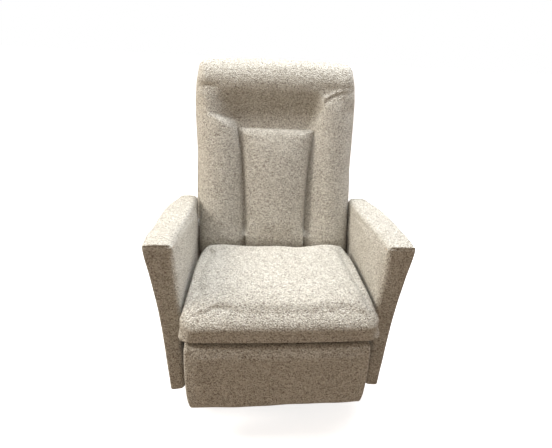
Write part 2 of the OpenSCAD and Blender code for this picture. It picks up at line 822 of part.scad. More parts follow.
module seat_plate() {
  slide = slide_travel * [cos(slide_lean), -sin(slide_lean)];
  drive_rise = drive_drop * (1 - cos(recline_deg)) - slide_travel * sin(slide_lean);
  tail_low = drive_pin[1] - tail_margin;
  tail_top = seat_plate_top - seat_rail_wall - drive_pin_d;
  color(steel_colour) difference() {
    in_side_view(seat_plate_x, seat_plate_t) polygon([
      [front_rail_y, seat_plate_top], [front_rail_y, seat_plate_top - seat_plate_front_h],
      [front_roller[0] + rail_sec_w, seat_plate_low], [rear_roller[0] - tail_margin, seat_plate_low],
      [drive_pin[0] - tail_margin, tail_low], [drive_pin[0] + tail_margin, tail_low],
      [drive_pin[0] + tail_margin, tail_top], [rear_rail_y + 2 * rail_sec_w, tail_top],
      [rear_rail_y + rail_sec_w, seat_plate_top]]);
    for (at = [front_roller, rear_roller])
      slot_cut(seat_plate_x, seat_plate_t, at, at + slide, roller_d + 2 * run_gap);
    pin_hole(seat_plate_x, seat_plate_t, swing_pivot, stub_d);
    pin_hole(seat_plate_x, seat_plate_t, guide_pivot, rivet_d);
    slot_cut(seat_plate_x, seat_plate_t, drive_pin, drive_pin + [0, drive_rise],
      drive_pin_d + 2 * drive_slot_gap);
  }
}

module seat_plate_left() { seat_plate(); }
module seat_plate_right() { mirror([1, 0, 0]) seat_plate(); }

module seat_rail(y) {
  color(steel_colour) translate([-seat_plate_x, y, seat_rail_top - rail_sec_h]) difference() {
    cube([2 * seat_plate_x, rail_sec_w, rail_sec_h]);
    translate([-cut, seat_rail_wall, seat_rail_wall])
      cube([2 * seat_plate_x + 2 * cut, rail_sec_w - 2 * seat_rail_wall, rail_sec_h - 2 * seat_rail_wall]);
  }
}

module seat_front_rail() { seat_rail(front_rail_y); }

module seat_rear_rail() { seat_rail(rear_rail_y); }

zigzag_step = (rear_rail_y - front_rail_y) / zigzag_turns;
zigzag_h = seat_rail_top + zigzag_wire_d / 2 + head_gap;
zigzag_start = rear_rail_y + rail_sec_w / 2;
zigzag_path = concat(
  [[zigzag_half_w - zigzag_step / 2, zigzag_start, zigzag_h]],
  [for (i = [0:zigzag_turns - 1], deg = [0:60:180])
    let (
      side = i % 2 == 0 ? -1 : 1,
      centre = [side * (zigzag_half_w - zigzag_step / 2), zigzag_start - (i + 1 / 2) * zigzag_step, zigzag_h]
    )
      centre + zigzag_step / 2 * [side * sin(deg), cos(deg), 0]],
  [[zigzag_step / 2 - zigzag_half_w, zigzag_start - zigzag_turns * zigzag_step, zigzag_h]]);

module seat_springs() {
  echo(seat_spring_least_gap = least_gap(zigzag_path, zigzag_wire_d, 4));
  color(zinc_colour) for (x = zigzag_x) translate([x, 0, 0])
    tube(zigzag_path, zigzag_wire_d / 2, [0, 0, 1]);
}

module seat_spring_clips() {
  clip_h = zigzag_h + zigzag_wire_d / 2 + clip_t - seat_rail_top;
  groove_w = zigzag_wire_d + 2 * head_gap;
  color(zinc_colour) for (x = zigzag_x, y = [zigzag_start, zigzag_start - zigzag_turns * zigzag_step])
    translate([x - clip_w / 2, y, seat_rail_top]) difference() {
      translate([0, -clip_l / 2, 0]) cube([clip_w, clip_l, clip_h]);
      translate([-cut, -groove_w / 2, -cut])
        cube([clip_w + 2 * cut, groove_w, clip_h - clip_t + cut + head_gap]);
    }
}

// Seat cushion: flat over the springs, a nose that hangs over the footrest, sides that swell in front
seat_nose_radii = [52, (seat_nose_h - seat_lip_h) / 2];
seat_rear_radii = [26, 24];
seat_nose_crown = -5;
seat_side_swell = 3;
seat_swell_y = -331;
seat_mid_w = 554;
seat_step = 4;
seat_lift = 3;
lip_rear_y = front_rail_y - 2 * seat_step;
function seat_half(y) = lookup(y, [
  [-seat_nose_out, seat_front_w / 2 - seat_side_swell],
  [seat_swell_y, seat_front_w / 2 + seat_side_swell],
  [arm_front_y, seat_front_w / 2],
  [0, seat_mid_w / 2],
  [back_face_y(seat_rear_h), seat_rear_w / 2]]);
function seat_point(p) =
  let (
    top = p[1] > seat_rear_h - seat_rear_radii[1] ? 1 : 0,
    nose = p[0] < lip_rear_y - seat_edge && top == 0 ? 1 : 0,
    half = seat_half(p[0]),
    low = p[0] <= lip_rear_y ? seat_lip_h : deck_h
  )
    [p[0], p[1], -half, half, nose * seat_nose_crown, top * seat_crown,
     clamped(p[0], seat_edge - seat_nose_out, back_face_y(p[1]) - soft_gap - seat_edge),
     clamped(p[1], low + seat_edge, seat_rear_h - seat_edge)];
seat_profile = [for (p = concat(
  [[lip_rear_y + seat_step, deck_h], [back_face_y(deck_h) - soft_gap - 2 * seat_step, deck_h],
   [back_face_y(deck_h + 2 * seat_step) - soft_gap, deck_h + 2 * seat_step]],
  corner([back_face_y(seat_rear_h - seat_rear_radii[1]) - soft_gap - seat_rear_radii[0],
    seat_rear_h - seat_rear_radii[1]], seat_rear_radii, 0, 90),
  [[0, (seat_rear_h + seat_nose_h) / 2 + seat_lift], [arm_front_y / 2, seat_nose_h + seat_lift],
   [arm_front_y + seat_edge, seat_nose_h + seat_lift]],
  corner([seat_nose_radii[0] - seat_nose_out, seat_nose_h - seat_nose_radii[1]], seat_nose_radii, 90, 270, 9),
  [[lip_rear_y, seat_lip_h]]))
  seat_point(p)];

module seat_cushion() {
  color(fabric_colour) pad(seat_profile, seat_edge, seat_step);
}

// Backrest

frame_outer = bracket_x;
post_w = 26;
post_low = 16;
post_top = 700;
rail_b = 50;
bracket_up = 236;
function back_place(depth, up) =
  back_pivot + [depth * cos(back_lean) + up * sin(back_lean), up * cos(back_lean) - depth * sin(back_lean)];

module back_posts() {
  color(wood_colour) on_back() both_sides() translate([frame_outer - post_w, 0, post_low])
    cube([post_w, frame_t, post_top - post_low]);
}

module back_rails() {
  span = 2 * (frame_outer - post_w);
  color(wood_colour) on_back() for (up = [post_low, (post_top - rail_b) / 2, post_top - rail_b])
    translate([-span / 2, 0, up]) cube([span, frame_t, rail_b]);
}

module back_webbing() {
  strap_t = 2.5;
  strap_w = 50;
  straps = 5;
  low = post_low + rail_b;
  spacing = (post_top - rail_b - low) / straps;
  color(plastic_colour) on_back() for (i = [0:straps - 1])
    translate([head_gap - frame_outer, -strap_t, low + (i + 1 / 2) * spacing - strap_w / 2])
      cube([2 * (frame_outer - head_gap), strap_t, strap_w]);
}

module back_bracket() {
  lug_w = 26;
  lobe_d = 34;
  post_bar_w = frame_t - run_gap * 2;
  color(steel_colour) difference() {
    in_side_view(bracket_x, bracket_t) {
      translate(back_pivot) circle(d = lobe_d);
      bar_outline(back_pivot, drive_pin, lug_w);
      bar_outline(back_place(frame_t / 2, post_low), back_place(frame_t / 2, bracket_up), post_bar_w);
    }
    pin_hole(bracket_x, bracket_t, back_pivot, pivot_d);
    pin_hole(bracket_x, bracket_t, drive_pin, drive_pin_d);
  }
}

module back_bracket_left() { back_bracket(); }
module back_bracket_right() { mirror([1, 0, 0]) back_bracket(); }

module drive_pins() {
  reach = seat_plate_x + seat_plate_t + head_gap - bracket_x;
  color(zinc_colour) both_sides() {
    rod_x(bracket_x, reach, drive_pin, drive_pin_d);
    rod_x(bracket_x - rivet_head_t, rivet_head_t, drive_pin, drive_head_d);
    rod_x(bracket_x + reach, rivet_head_t, drive_pin, drive_head_d);
    rod_x(bracket_x + bracket_t, seat_plate_x - bracket_x - bracket_t - head_gap, drive_pin, drive_spacer_d);
  }
}

// Border cushion: side bolsters, and a head roll that overhangs a recess above the lumbar panel
// Each line of the cushion's front gives [ahead of the front plane, distance along the back, crown]
head_line = [[5, -74, -7], [2, -105, -12], [0, -140, -5], [3, -175, 9]];
recess_line = [[4, 36, 20], [3, 4, 24], [-4, -30, 6]];
bolster_line = [[-6, 320, 0], [-6, 112, 0], [-8, 40, 0], [-16, 20, 0]];
border_core = [-50, -22];
border_bulge = 3;
function border_point(p) =
  let (half = back_half(p[1]))
    [p[0], p[1], -half, half, p[2], p[3],
     clamped(p[0], border_core[0], border_core[1]),
     clamped(p[1], back_low_up + back_edge / 2, back_up - head_r)];
function front_line(line, from) = [for (q = line) [-back_front_t - q[0], from + q[1], q[2], 0]];
border_profile = [for (p = concat(
  [[cushion_rear, back_low_up, 0, 0], [cushion_rear, groove_up, 0, 0],
   [cushion_rear, back_up - head_r - head_lift, 0, 0]],
  [for (q = corner([cushion_rear - head_r, back_up - head_r], [head_r, head_r], 15, 165, 6))
    [q[0], q[1], 0, head_lift]],
  front_line(head_line, back_up), front_line(recess_line, groove_up), front_line(bolster_line, 0)))
  border_point(p)];

module lumbar_outline(grow) {
  r = 16;
  offset(r = r) offset(delta = grow - r) polygon([
    [-lumbar_low_w / 2, lumbar_low_up], [lumbar_low_w / 2, lumbar_low_up],
    [lumbar_top_w / 2, groove_up], [-lumbar_top_w / 2, groove_up]]);
}

module back_border_cushion() {
  groove_grow = 12;
  color(fabric_colour) on_back() difference() {
    pad(border_profile, back_edge, border_bulge);
    translate([0, cushion_rear + cut, 0]) rotate([90, 0, 0]) linear_extrude(2 * back_front_t)
      lumbar_outline(soft_gap);
    hull() {
      translate([0, 3 * groove_grow / 2 - back_front_t, 0]) rotate([90, 0, 0]) linear_extrude(cut)
        lumbar_outline(0);
      translate([0, -groove_grow - back_front_t, 0]) rotate([90, 0, 0]) linear_extrude(cut)
        lumbar_outline(groove_grow);
    }
  }
}

lumbar_crown = -12;
lumbar_front = -back_front_t - lumbar_crown;
lumbar_radii = [lumbar_edge, lumbar_edge];
lumbar_rear_in = 8;
function lumbar_half(up) =
  lookup(up, [[lumbar_low_up, lumbar_low_w / 2], [groove_up, lumbar_top_w / 2]]);
function lumbar_point(p, crown) =
  let (half = lumbar_half(p[1]))
    [p[0], p[1], -half, half, crown, 0,
     clamped(p[0], lumbar_front + lumbar_edge, cushion_rear - lumbar_rear_in),
     clamped(p[1], lumbar_low_up + lumbar_edge, groove_up - lumbar_edge)];
lumbar_profile = concat(
  [for (up = [lumbar_low_up + lumbar_rear_in, groove_up - lumbar_rear_in])
    lumbar_point([cushion_rear, up], 0)],
  [for (q = corner([lumbar_front + lumbar_edge, groove_up - lumbar_edge], lumbar_radii, 90, 180))
    lumbar_point(q, lumbar_crown / 2)],
  [for (share = [3 / 4, 1 / 2]) lumbar_point([lumbar_front, groove_up * share], lumbar_crown)],
  [for (q = corner([lumbar_front + lumbar_edge, lumbar_low_up + lumbar_edge], lumbar_radii, 180, 270))
    lumbar_point(q, lumbar_crown / 2)]);

module lumbar_panel() {
  color(fabric_colour) on_back() pad(lumbar_profile, lumbar_edge);
}

// Outer back: a shell over the frame's rear and sides
cover_rear = frame_t + back_rear_t;
cover_front = cushion_rear + head_gap;
cover_top_up = back_up - head_r / 2;
cover_in = 4;
cover_crown = 5;
function cover_point(p) =
  let (half = back_half(p[1]) - cover_in)
    [p[0], p[1], -half, half, p[2], 0,
     clamped(p[0], cover_front + cover_in, cover_rear - back_edge),
     clamped(p[1], back_low_up + cover_in, cover_top_up - back_edge)];
cover_profile = [for (p = concat(
  [[cover_front, back_low_up, 0], [cover_rear - 2 * cover_in, back_low_up, 0],
   [cover_rear, back_low_up + 2 * cover_in, cover_crown / 2],
   [cover_rear, cover_top_up / 2, cover_crown], [cover_rear, cover_top_up * 3 / 4, cover_crown]],
  [for (q = corner([cover_rear - head_r, cover_top_up - head_r], [head_r, head_r], 0, 90))
    [q[0], q[1], cover_crown / 2]],
  [[cover_front, cover_top_up, 0]]))
  cover_point(p)];

module outer_back() {
  pocket_half = bracket_x + bracket_t + run_gap;
  color(fabric_colour) on_back() difference() {
    pad(cover_profile, lumbar_edge);
    translate([-pocket_half, cover_front - cut, back_low_up - cut])
      cube([2 * pocket_half, frame_t + run_gap + cut - cover_front, post_top + run_gap - back_low_up + cut]);
  }
}

// Footrest mechanism

module torque_tube() {
  half = layer_x(2);
  stub_l = seat_plate_x + seat_plate_t + head_gap - half;
  low_y = swing_pivot[0] - torque_tube_w / 2;
  low_z = swing_pivot[1] - torque_tube_w / 2;
  bore_w = torque_tube_w - 2 * torque_tube_wall;
  color(steel_colour) {
    difference() {
      translate([-half, low_y, low_z]) cube([2 * half, torque_tube_w, torque_tube_w]);
      translate([stub_d - half, low_y + torque_tube_wall, low_z + torque_tube_wall])
        cube([2 * (half - stub_d), bore_w, bore_w]);
    }
    both_sides() {
      rod_x(half, stub_l, swing_pivot, stub_d);
      rod_x(half + stub_l, rivet_head_t, swing_pivot, stub_head_d);
    }
  }
}

module swing_links() {
  x = layer_x(2);
  color(steel_colour) both_sides() difference() {
    in_side_view(x, link_t) {
      bar_outline(swing_pivot, swing_joint, swing_link_w);
      bar_outline(swing_joint, tilt_low, link_w);
    }
    pin_hole(x, link_t, swing_pivot, stub_d);
    for (at = [swing_joint, tilt_low]) pin_hole(x, link_t, at, rivet_d);
  }
}

module guide_links() {
  x = layer_x(2);
  color(steel_colour) both_sides() difference() {
    in_side_view(x, link_t) bar_outline(guide_pivot, guide_joint, link_w);
    for (at = [guide_pivot, guide_joint]) pin_hole(x, link_t, at, rivet_d);
  }
}

module guide_pivots() {
  x = layer_x(2);
  color(zinc_colour) both_sides() {
    rivet(guide_pivot, x, seat_plate_x + seat_plate_t);
    rod_x(x + link_t + head_gap, seat_plate_x - x - link_t - 2 * head_gap, guide_pivot, rivet_head_d);
  }
}

module extension_links() {
  x = layer_x(3);
  color(steel_colour) both_sides() difference() {
    in_side_view(x, link_t) {
      bar_outline(guide_joint, swing_joint, link_w);
      bar_outline(swing_joint, board_pivot, link_w);
    }
    for (at = [guide_joint, swing_joint, board_pivot]) pin_hole(x, link_t, at, rivet_d);
  }
}

module extension_rivets() {
  color(zinc_colour) both_sides() for (at = [guide_joint, swing_joint, board_pivot])
    rivet(at, layer_x(3), layer_x(2) + link_t);
}

module tilt_links() {
  x = layer_x(1);
  color(steel_colour) both_sides() difference() {
    in_side_view(x, link_t) bar_outline(tilt_low, tilt_high, link_w);
    for (at = [tilt_low, tilt_high]) pin_hole(x, link_t, at, rivet_d);
  }
}

module tilt_rivets() {
  color(zinc_colour) both_sides() for (at = [tilt_low, tilt_high])
    rivet(at, layer_x(2), layer_x(1) + link_t);
}

module board_brackets() {
  x = layer_x(2);
  low = tilt_high[1] - link_w / 2;
  high = board_pivot[1] + link_w / 2;
  color(steel_colour) both_sides() difference() {
    union() {
      in_side_view(x, link_t) {
        bar_outline(board_pivot, tilt_high, link_w);
        polygon([[board_back_y, low], [tilt_high[0], low], [board_pivot[0], high], [board_back_y, high]]);
      }
      translate([x + link_t - bracket_flange_w, board_back_y, low])
        cube([bracket_flange_w, link_t, high - low]);
    }
    for (at = [board_pivot, tilt_high]) pin_hole(x, link_t, at, rivet_d);
  }
}

module footrest_board() {
  corner_r = 20;
  low = footrest_low_h + board_margin;
  high = footrest_top_h - board_margin;
  color(wood_colour) translate([0, board_back_y, 0]) rotate([90, 0, 0]) linear_extrude(board_t) union() {
    translate([-board_half_w + corner_r, low]) square([2 * (board_half_w - corner_r), high - low]);
    translate([-board_half_w, low + corner_r]) square([2 * board_half_w, high - low - 2 * corner_r]);
    for (x = [-1, 1], z = [low + corner_r, high - corner_r])
      translate([x * (board_half_w - corner_r), z]) circle(r = corner_r);
  }
}

footrest_crown = -6;
footrest_front_y = board_back_y - board_t - footrest_pad_t - footrest_crown;
footrest_r = [15, 20];
footrest_chamfer = 4;
function footrest_half(z) =
  lookup(z, [[footrest_low_h, footrest_low_w / 2], [footrest_top_h, footrest_top_w / 2]]);
function footrest_point(p) =
  let (half = footrest_half(p[1]))
    [p[0], p[1], -half, half, p[0] < board_back_y - board_t ? footrest_crown : 0, 0,
     clamped(p[0], footrest_front_y + footrest_edge, board_back_y - footrest_chamfer),
     clamped(p[1], footrest_low_h + footrest_edge, footrest_top_h - footrest_edge)];
footrest_profile = [for (p = concat(
  [[board_back_y, footrest_low_h + footrest_chamfer], [board_back_y, footrest_top_h - footrest_chamfer],
   [board_back_y - footrest_chamfer, footrest_top_h]],
  corner([footrest_front_y + footrest_r[0], footrest_top_h - footrest_r[1]], footrest_r, 90, 180),
  [[footrest_front_y, (footrest_low_h + footrest_top_h) / 2]],
  corner([footrest_front_y + footrest_r[0], footrest_low_h + footrest_r[1]], footrest_r, 180, 270),
  [[board_back_y - footrest_chamfer, footrest_low_h]]))
  footrest_point(p)];

module footrest_pad() {
  low = footrest_low_h + board_margin - head_gap;
  high = footrest_top_h - board_margin + head_gap;
  color(fabric_colour) difference() {
    pad(footrest_profile, footrest_edge);
    translate([-board_half_w - head_gap, board_back_y - board_t - head_gap, low])
      cube([2 * (board_half_w + head_gap), board_t + head_gap + cut, high - low]);
  }
}

// Release: a cup let into the outer side of one arm, a paddle in it and its cable

cup_slope_y = arm_outer(release_y + 1, release_h) - arm_outer(release_y, release_h);
cup_slope_z = arm_outer(release_y, release_h + 1) - arm_outer(release_y, release_h);
module on_arm_side() {
  translate([arm_outer(release_y, release_h) + cup_stand, release_y, release_h])
    rotate([0, 0, -atan(cup_slope_y)]) rotate([0, atan(cup_slope_z), 0]) children();
}
function on_arm_place(p) =
  let (
    a = atan(cup_slope_z), b = -atan(cup_slope_y),
    q = [p[0] * cos(a) + p[2] * sin(a), p[1], p[2] * cos(a) - p[0] * sin(a)]
  )
    [arm_outer(release_y, release_h) + cup_stand + q[0] * cos(b) - q[1] * sin(b),
     release_y + q[0] * sin(b) + q[1] * cos(b), release_h + q[2]];
cup_back = on_arm_place([-cup_depth, 0, 0]);
cup_inside = on_arm_place([cup_wall - cup_depth, 0, 0]);
paddle_pin = [-paddle_in, 0, cup_w / 2 - cup_wall - paddle_drop];

module release_cup() {
  color(plastic_colour) mirror([1, 0, 0]) on_arm_side() difference() {
    union() {
      translate([-cup_depth, -cup_l / 2, -cup_w / 2]) cube([cup_depth, cup_l, cup_w]);
      translate([0, -cup_l / 2 - cup_lip, -cup_w / 2 - cup_lip])
        cube([cup_lip_t, cup_l + 2 * cup_lip, cup_w + 2 * cup_lip]);
    }
    translate([cup_wall - cup_depth, cup_wall - cup_l / 2, cup_wall - cup_w / 2])
      cube([cup_depth + cup_lip_t, cup_l - 2 * cup_wall, cup_w - 2 * cup_wall]);
    translate([paddle_pin[0], cup_l / 2 + cut, paddle_pin[2]]) rotate([90, 0, 0])
      cylinder(d = release_pin_d + 2 * pin_gap, h = cup_l + 2 * cut);
    translate([-cup_depth - cut, 0, 0]) rotate([0, 90, 0])
      cylinder(d = cable_d + 2 * pin_gap, h = cup_wall + 2 * cut);
  }
}

module release_paddle() {
  half_l = cup_l / 2 - cup_wall - paddle_gap;
  low = cup_wall + finger_room - cup_w / 2;
  color(plastic_colour) mirror([1, 0, 0]) on_arm_side() {
    translate([paddle_pin[0], cup_l / 2, paddle_pin[2]]) rotate([90, 0, 0])
      cylinder(d = release_pin_d, h = cup_l);
    translate([paddle_pin[0] - paddle_t / 2, -half_l, low])
      cube([paddle_t, 2 * half_l, paddle_pin[2] - low]);
    translate([paddle_pin[0], half_l, paddle_pin[2]]) rotate([90, 0, 0])
      cylinder(d = release_pin_d + paddle_t, h = 2 * half_l);
  }
}

// The cable runs down inside the arm and out through the mechanism's side plate
cable_x = arm_frame_x + arm_frame_t / 2;
cable_bend = 12;
function cable_corner(x, z, from_deg, to_deg) =
  [for (q = corner([x, z], [cable_bend, cable_bend], from_deg, to_deg, 3)) [q[0], release_y, q[1]]];
cable_path = concat(
  [cup_inside, cup_back],
  cable_corner(cable_x + cable_bend, cup_back[2] - cable_bend, 90, 180),
  cable_corner(cable_x - cable_bend, cable_exit_h + cable_bend, 0, -90),
  [[side_plate_x - 2 * cable_d, release_y, cable_exit_h]]);

module release_cable() {
  color(plastic_colour) mirror([1, 0, 0]) tube(cable_path, cable_d / 2, [0, 1, 0]);
}

ring_base();
floor_glides();
bearing_lower_race();
bearing_balls();
swivel_spindle();
race_bolts();
bearing_upper_race();
cross_channels();
rocker_rail_left();
rocker_rail_right();
rocker_pads();
spring_brackets_lower();
turntable_bolts();
rocker_cam_left();
rocker_cam_right();
spring_brackets_upper();
rocker_springs();
cross_tube_front();
cross_tube_rear();
side_plate_left();
side_plate_right();
track_rollers();
back_pivot_studs();
arm_frame_left();
arm_frame_right();
arm_cover_left();
arm_cover_right();
arm_bolts();
seat_plate_left();
seat_plate_right();
seat_front_rail();
seat_rear_rail();
seat_springs();
seat_spring_clips();
seat_cushion();
back_posts();
back_rails();
back_webbing();
back_bracket_left();
back_bracket_right();
drive_pins();
back_border_cushion();
lumbar_panel();
outer_back();
torque_tube();
swing_links();
guide_links();
guide_pivots();
extension_links();
extension_rivets();
tilt_links();
tilt_rivets();
board_brackets();
footrest_board();
footrest_pad();
release_cup();
release_paddle();
release_cable();
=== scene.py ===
"""Swivel rocker recliner: upholstery, finishes, studio and camera around the fixed mechanical frame.

Everything is in metres in the frame of the solids: X to the sitter's left, Y to the back of the
chair, Z up, with the origin on the swivel axis at floor level.
"""
import json
import logging
import math
import time
from dataclasses import dataclass, field, replace
from enum import Enum
from typing import Callable, Optional, Sequence

import bmesh
import bpy
import numpy as np
from mathutils import Matrix, Vector
from mathutils.kdtree import KDTree


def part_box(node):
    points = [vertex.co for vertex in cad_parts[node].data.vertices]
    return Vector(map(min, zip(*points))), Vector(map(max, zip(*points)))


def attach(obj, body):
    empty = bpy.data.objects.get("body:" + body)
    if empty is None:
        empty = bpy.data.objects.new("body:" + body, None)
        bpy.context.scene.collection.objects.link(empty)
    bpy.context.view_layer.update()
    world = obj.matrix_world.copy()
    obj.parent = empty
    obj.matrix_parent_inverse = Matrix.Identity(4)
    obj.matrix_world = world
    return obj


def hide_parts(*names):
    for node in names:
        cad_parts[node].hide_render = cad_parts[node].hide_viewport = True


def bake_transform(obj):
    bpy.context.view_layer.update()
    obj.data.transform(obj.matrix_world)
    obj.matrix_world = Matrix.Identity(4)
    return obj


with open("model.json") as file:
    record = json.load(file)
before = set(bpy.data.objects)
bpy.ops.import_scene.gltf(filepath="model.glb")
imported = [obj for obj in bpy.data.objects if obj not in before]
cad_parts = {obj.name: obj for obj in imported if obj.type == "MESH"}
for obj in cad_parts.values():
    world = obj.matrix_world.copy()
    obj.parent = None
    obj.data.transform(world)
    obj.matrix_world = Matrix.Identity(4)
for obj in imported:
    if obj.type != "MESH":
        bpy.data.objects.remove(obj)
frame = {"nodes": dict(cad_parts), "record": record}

LOG = logging.getLogger("recliner")

Colour = tuple[float, float, float]
Array = np.ndarray
Field = Callable[[Array], Array]
Rows = tuple[tuple[float, float], ...]


class Side(Enum):
    """A side of the chair, as the sign of its X."""

    LEFT = 1
    RIGHT = -1


# Shader building


class Wire:
    """One socket of a shader, with the arithmetic that a finish needs."""

    def __init__(self, tree: "ShaderTree", socket: bpy.types.NodeSocket) -> None:
        """Wraps a socket of a tree."""
        self.tree = tree
        self.socket = socket

    def _maths(self, operation: str, *values: "Wire | float", clamp: bool = False) -> "Wire":
        """Adds a Math node on this tree and returns its result."""
        node = self.tree.node(
            "ShaderNodeMath", {"operation": operation, "use_clamp": clamp}, dict(enumerate(values))
        )
        return Wire(self.tree, node.outputs[0])

    def __add__(self, other: "Wire | float") -> "Wire":
        """self + other."""
        return self._maths("ADD", self, other)

    def __mul__(self, other: "Wire | float") -> "Wire":
        """self * other."""
        return self._maths("MULTIPLY", self, other)

    def __rsub__(self, other: "Wire | float") -> "Wire":
        """other - self."""
        return self._maths("SUBTRACT", other, self)

    def plus(self, other: "Wire") -> "Wire":
        """self + other, held between 0 and 1."""
        return self._maths("ADD", self, other, clamp=True)

    def step(self, low: float, high: float) -> "Wire":
        """Rises smoothly from 0 at low to 1 at high.

        Args:
            low: value at which the result is 0.
            high: value at which the result is 1.

        Returns:
            The eased value.
        """
        node = self.tree.node(
            "ShaderNodeMapRange",
            {"interpolation_type": "SMOOTHSTEP"},
            {"Value": self, "From Min": low, "From Max": high},
        )
        return Wire(self.tree, node.outputs[0])


class ShaderTree:
    """Builds one material from plain calls."""

    def __init__(self, name: str, world: Optional[bpy.types.World] = None) -> None:
        """Starts an empty material, or a world's shader, with its output node."""
        self.owner = world or bpy.data.materials.new(name)
        self.owner.use_nodes = True
        self.tree = self.owner.node_tree
        self.tree.nodes.clear()
        self.output = self.node("ShaderNodeOutputWorld" if world else "ShaderNodeOutputMaterial")

    def node(
        self,
        kind: str,
        settings: Optional[dict] = None,
        inputs: Optional[dict] = None,
    ) -> bpy.types.Node:
        """Adds a node.

        Args:
            kind: the node's type.
            settings: attributes set before the sockets.
            inputs: socket name or index to a value or a Wire.

        Returns:
            The new node.
        """
        made = self.tree.nodes.new(kind)
        for key, value in (settings or {}).items():
            setattr(made, key, value)
        for key, value in (inputs or {}).items():
            if isinstance(value, Wire):
                self.tree.links.new(value.socket, made.inputs[key])
            else:
                made.inputs[key].default_value = value
        return made

    def wire(self, kind: str, output: str | int, settings: Optional[dict] = None,
             inputs: Optional[dict] = None) -> Wire:
        """Adds a node and wires up one of its outputs.

        Args:
            kind: the node's type.
            output: name or index of the output.
            settings: attributes set before the sockets.
            inputs: socket name or index to a value or a Wire.

        Returns:
            The output.
        """
        return Wire(self, self.node(kind, settings, inputs).outputs[output])

    def place(self, scale: Sequence[float] = (1, 1, 1)) -> Wire:
        """Object coordinates, stretched by a scale along each axis."""
        at = self.wire("ShaderNodeTexCoord", "Object")
        return self.wire("ShaderNodeMapping", "Vector", {}, {"Vector": at, "Scale": scale})

    def noise(self, at: Wire, scale: float, detail: float, output: int = 0) -> Wire:
        """Soft noise.

        Args:
            at: where it is read.
            scale: waves in a metre.
            detail: how many finer layers are laid over it.
            output: 0 for a grey value, 1 for a colour.

        Returns:
            The noise.
        """
        values = {"Vector": at, "Scale": scale, "Detail": detail}
        return self.wire("ShaderNodeTexNoise", output, {}, values)

    def cells(self, at: Wire, scale: float, output: str = "Distance", feature: str = "F1") -> Wire:
        """Voronoi cells.

        Args:
            at: where they are read.
            scale: cells in a metre.
            output: what is read of them.
            feature: which of their features it is.

        Returns:
            The distance to the cell's middle, or whatever output names.
        """
        return self.wire("ShaderNodeTexVoronoi", output, {"feature": feature}, {"Vector": at, "Scale": scale})

    def channel(self, colour: Wire, number: int) -> Wire:
        """One channel of a colour: 0 red, 1 green, 2 blue."""
        return self.wire("ShaderNodeSeparateColor", number, {}, {0: colour})

    def mix(self, factor: "Wire | float", first: "Wire | Colour", second: "Wire | Colour") -> Wire:
        """Mixes two colours: the first at factor 0, the second at 1."""
        values = {0: factor}
        for key, value in ((6, first), (7, second)):
            values[key] = value if isinstance(value, Wire) else (*value, 1.0)
        return self.wire("ShaderNodeMix", 2, {"data_type": "RGBA"}, values)

    def finish(self, values: dict, height: Wire, depth: float, strength: float) -> bpy.types.Material:
        """Adds the surface shader and closes the material.

        Args:
            values: sockets of the Principled shader.
            height: the relief, as a share of its depth.
            depth: depth of the relief in metres.
            strength: how much of the relief shows.

        Returns:
            The material.
        """
        bump = {"Height": height, "Distance": depth, "Strength": strength}
        normal = self.wire("ShaderNodeBump", 0, {}, bump)
        return self.close(self.wire("ShaderNodeBsdfPrincipled", 0, {}, {**values, "Normal": normal}))

    def close(self, surface: Wire) -> bpy.types.Material | bpy.types.World:
        """Links a shader to the output and returns what it belongs to."""
        self.tree.links.new(surface.socket, self.output.inputs["Surface"])
        return self.owner


# Finishes


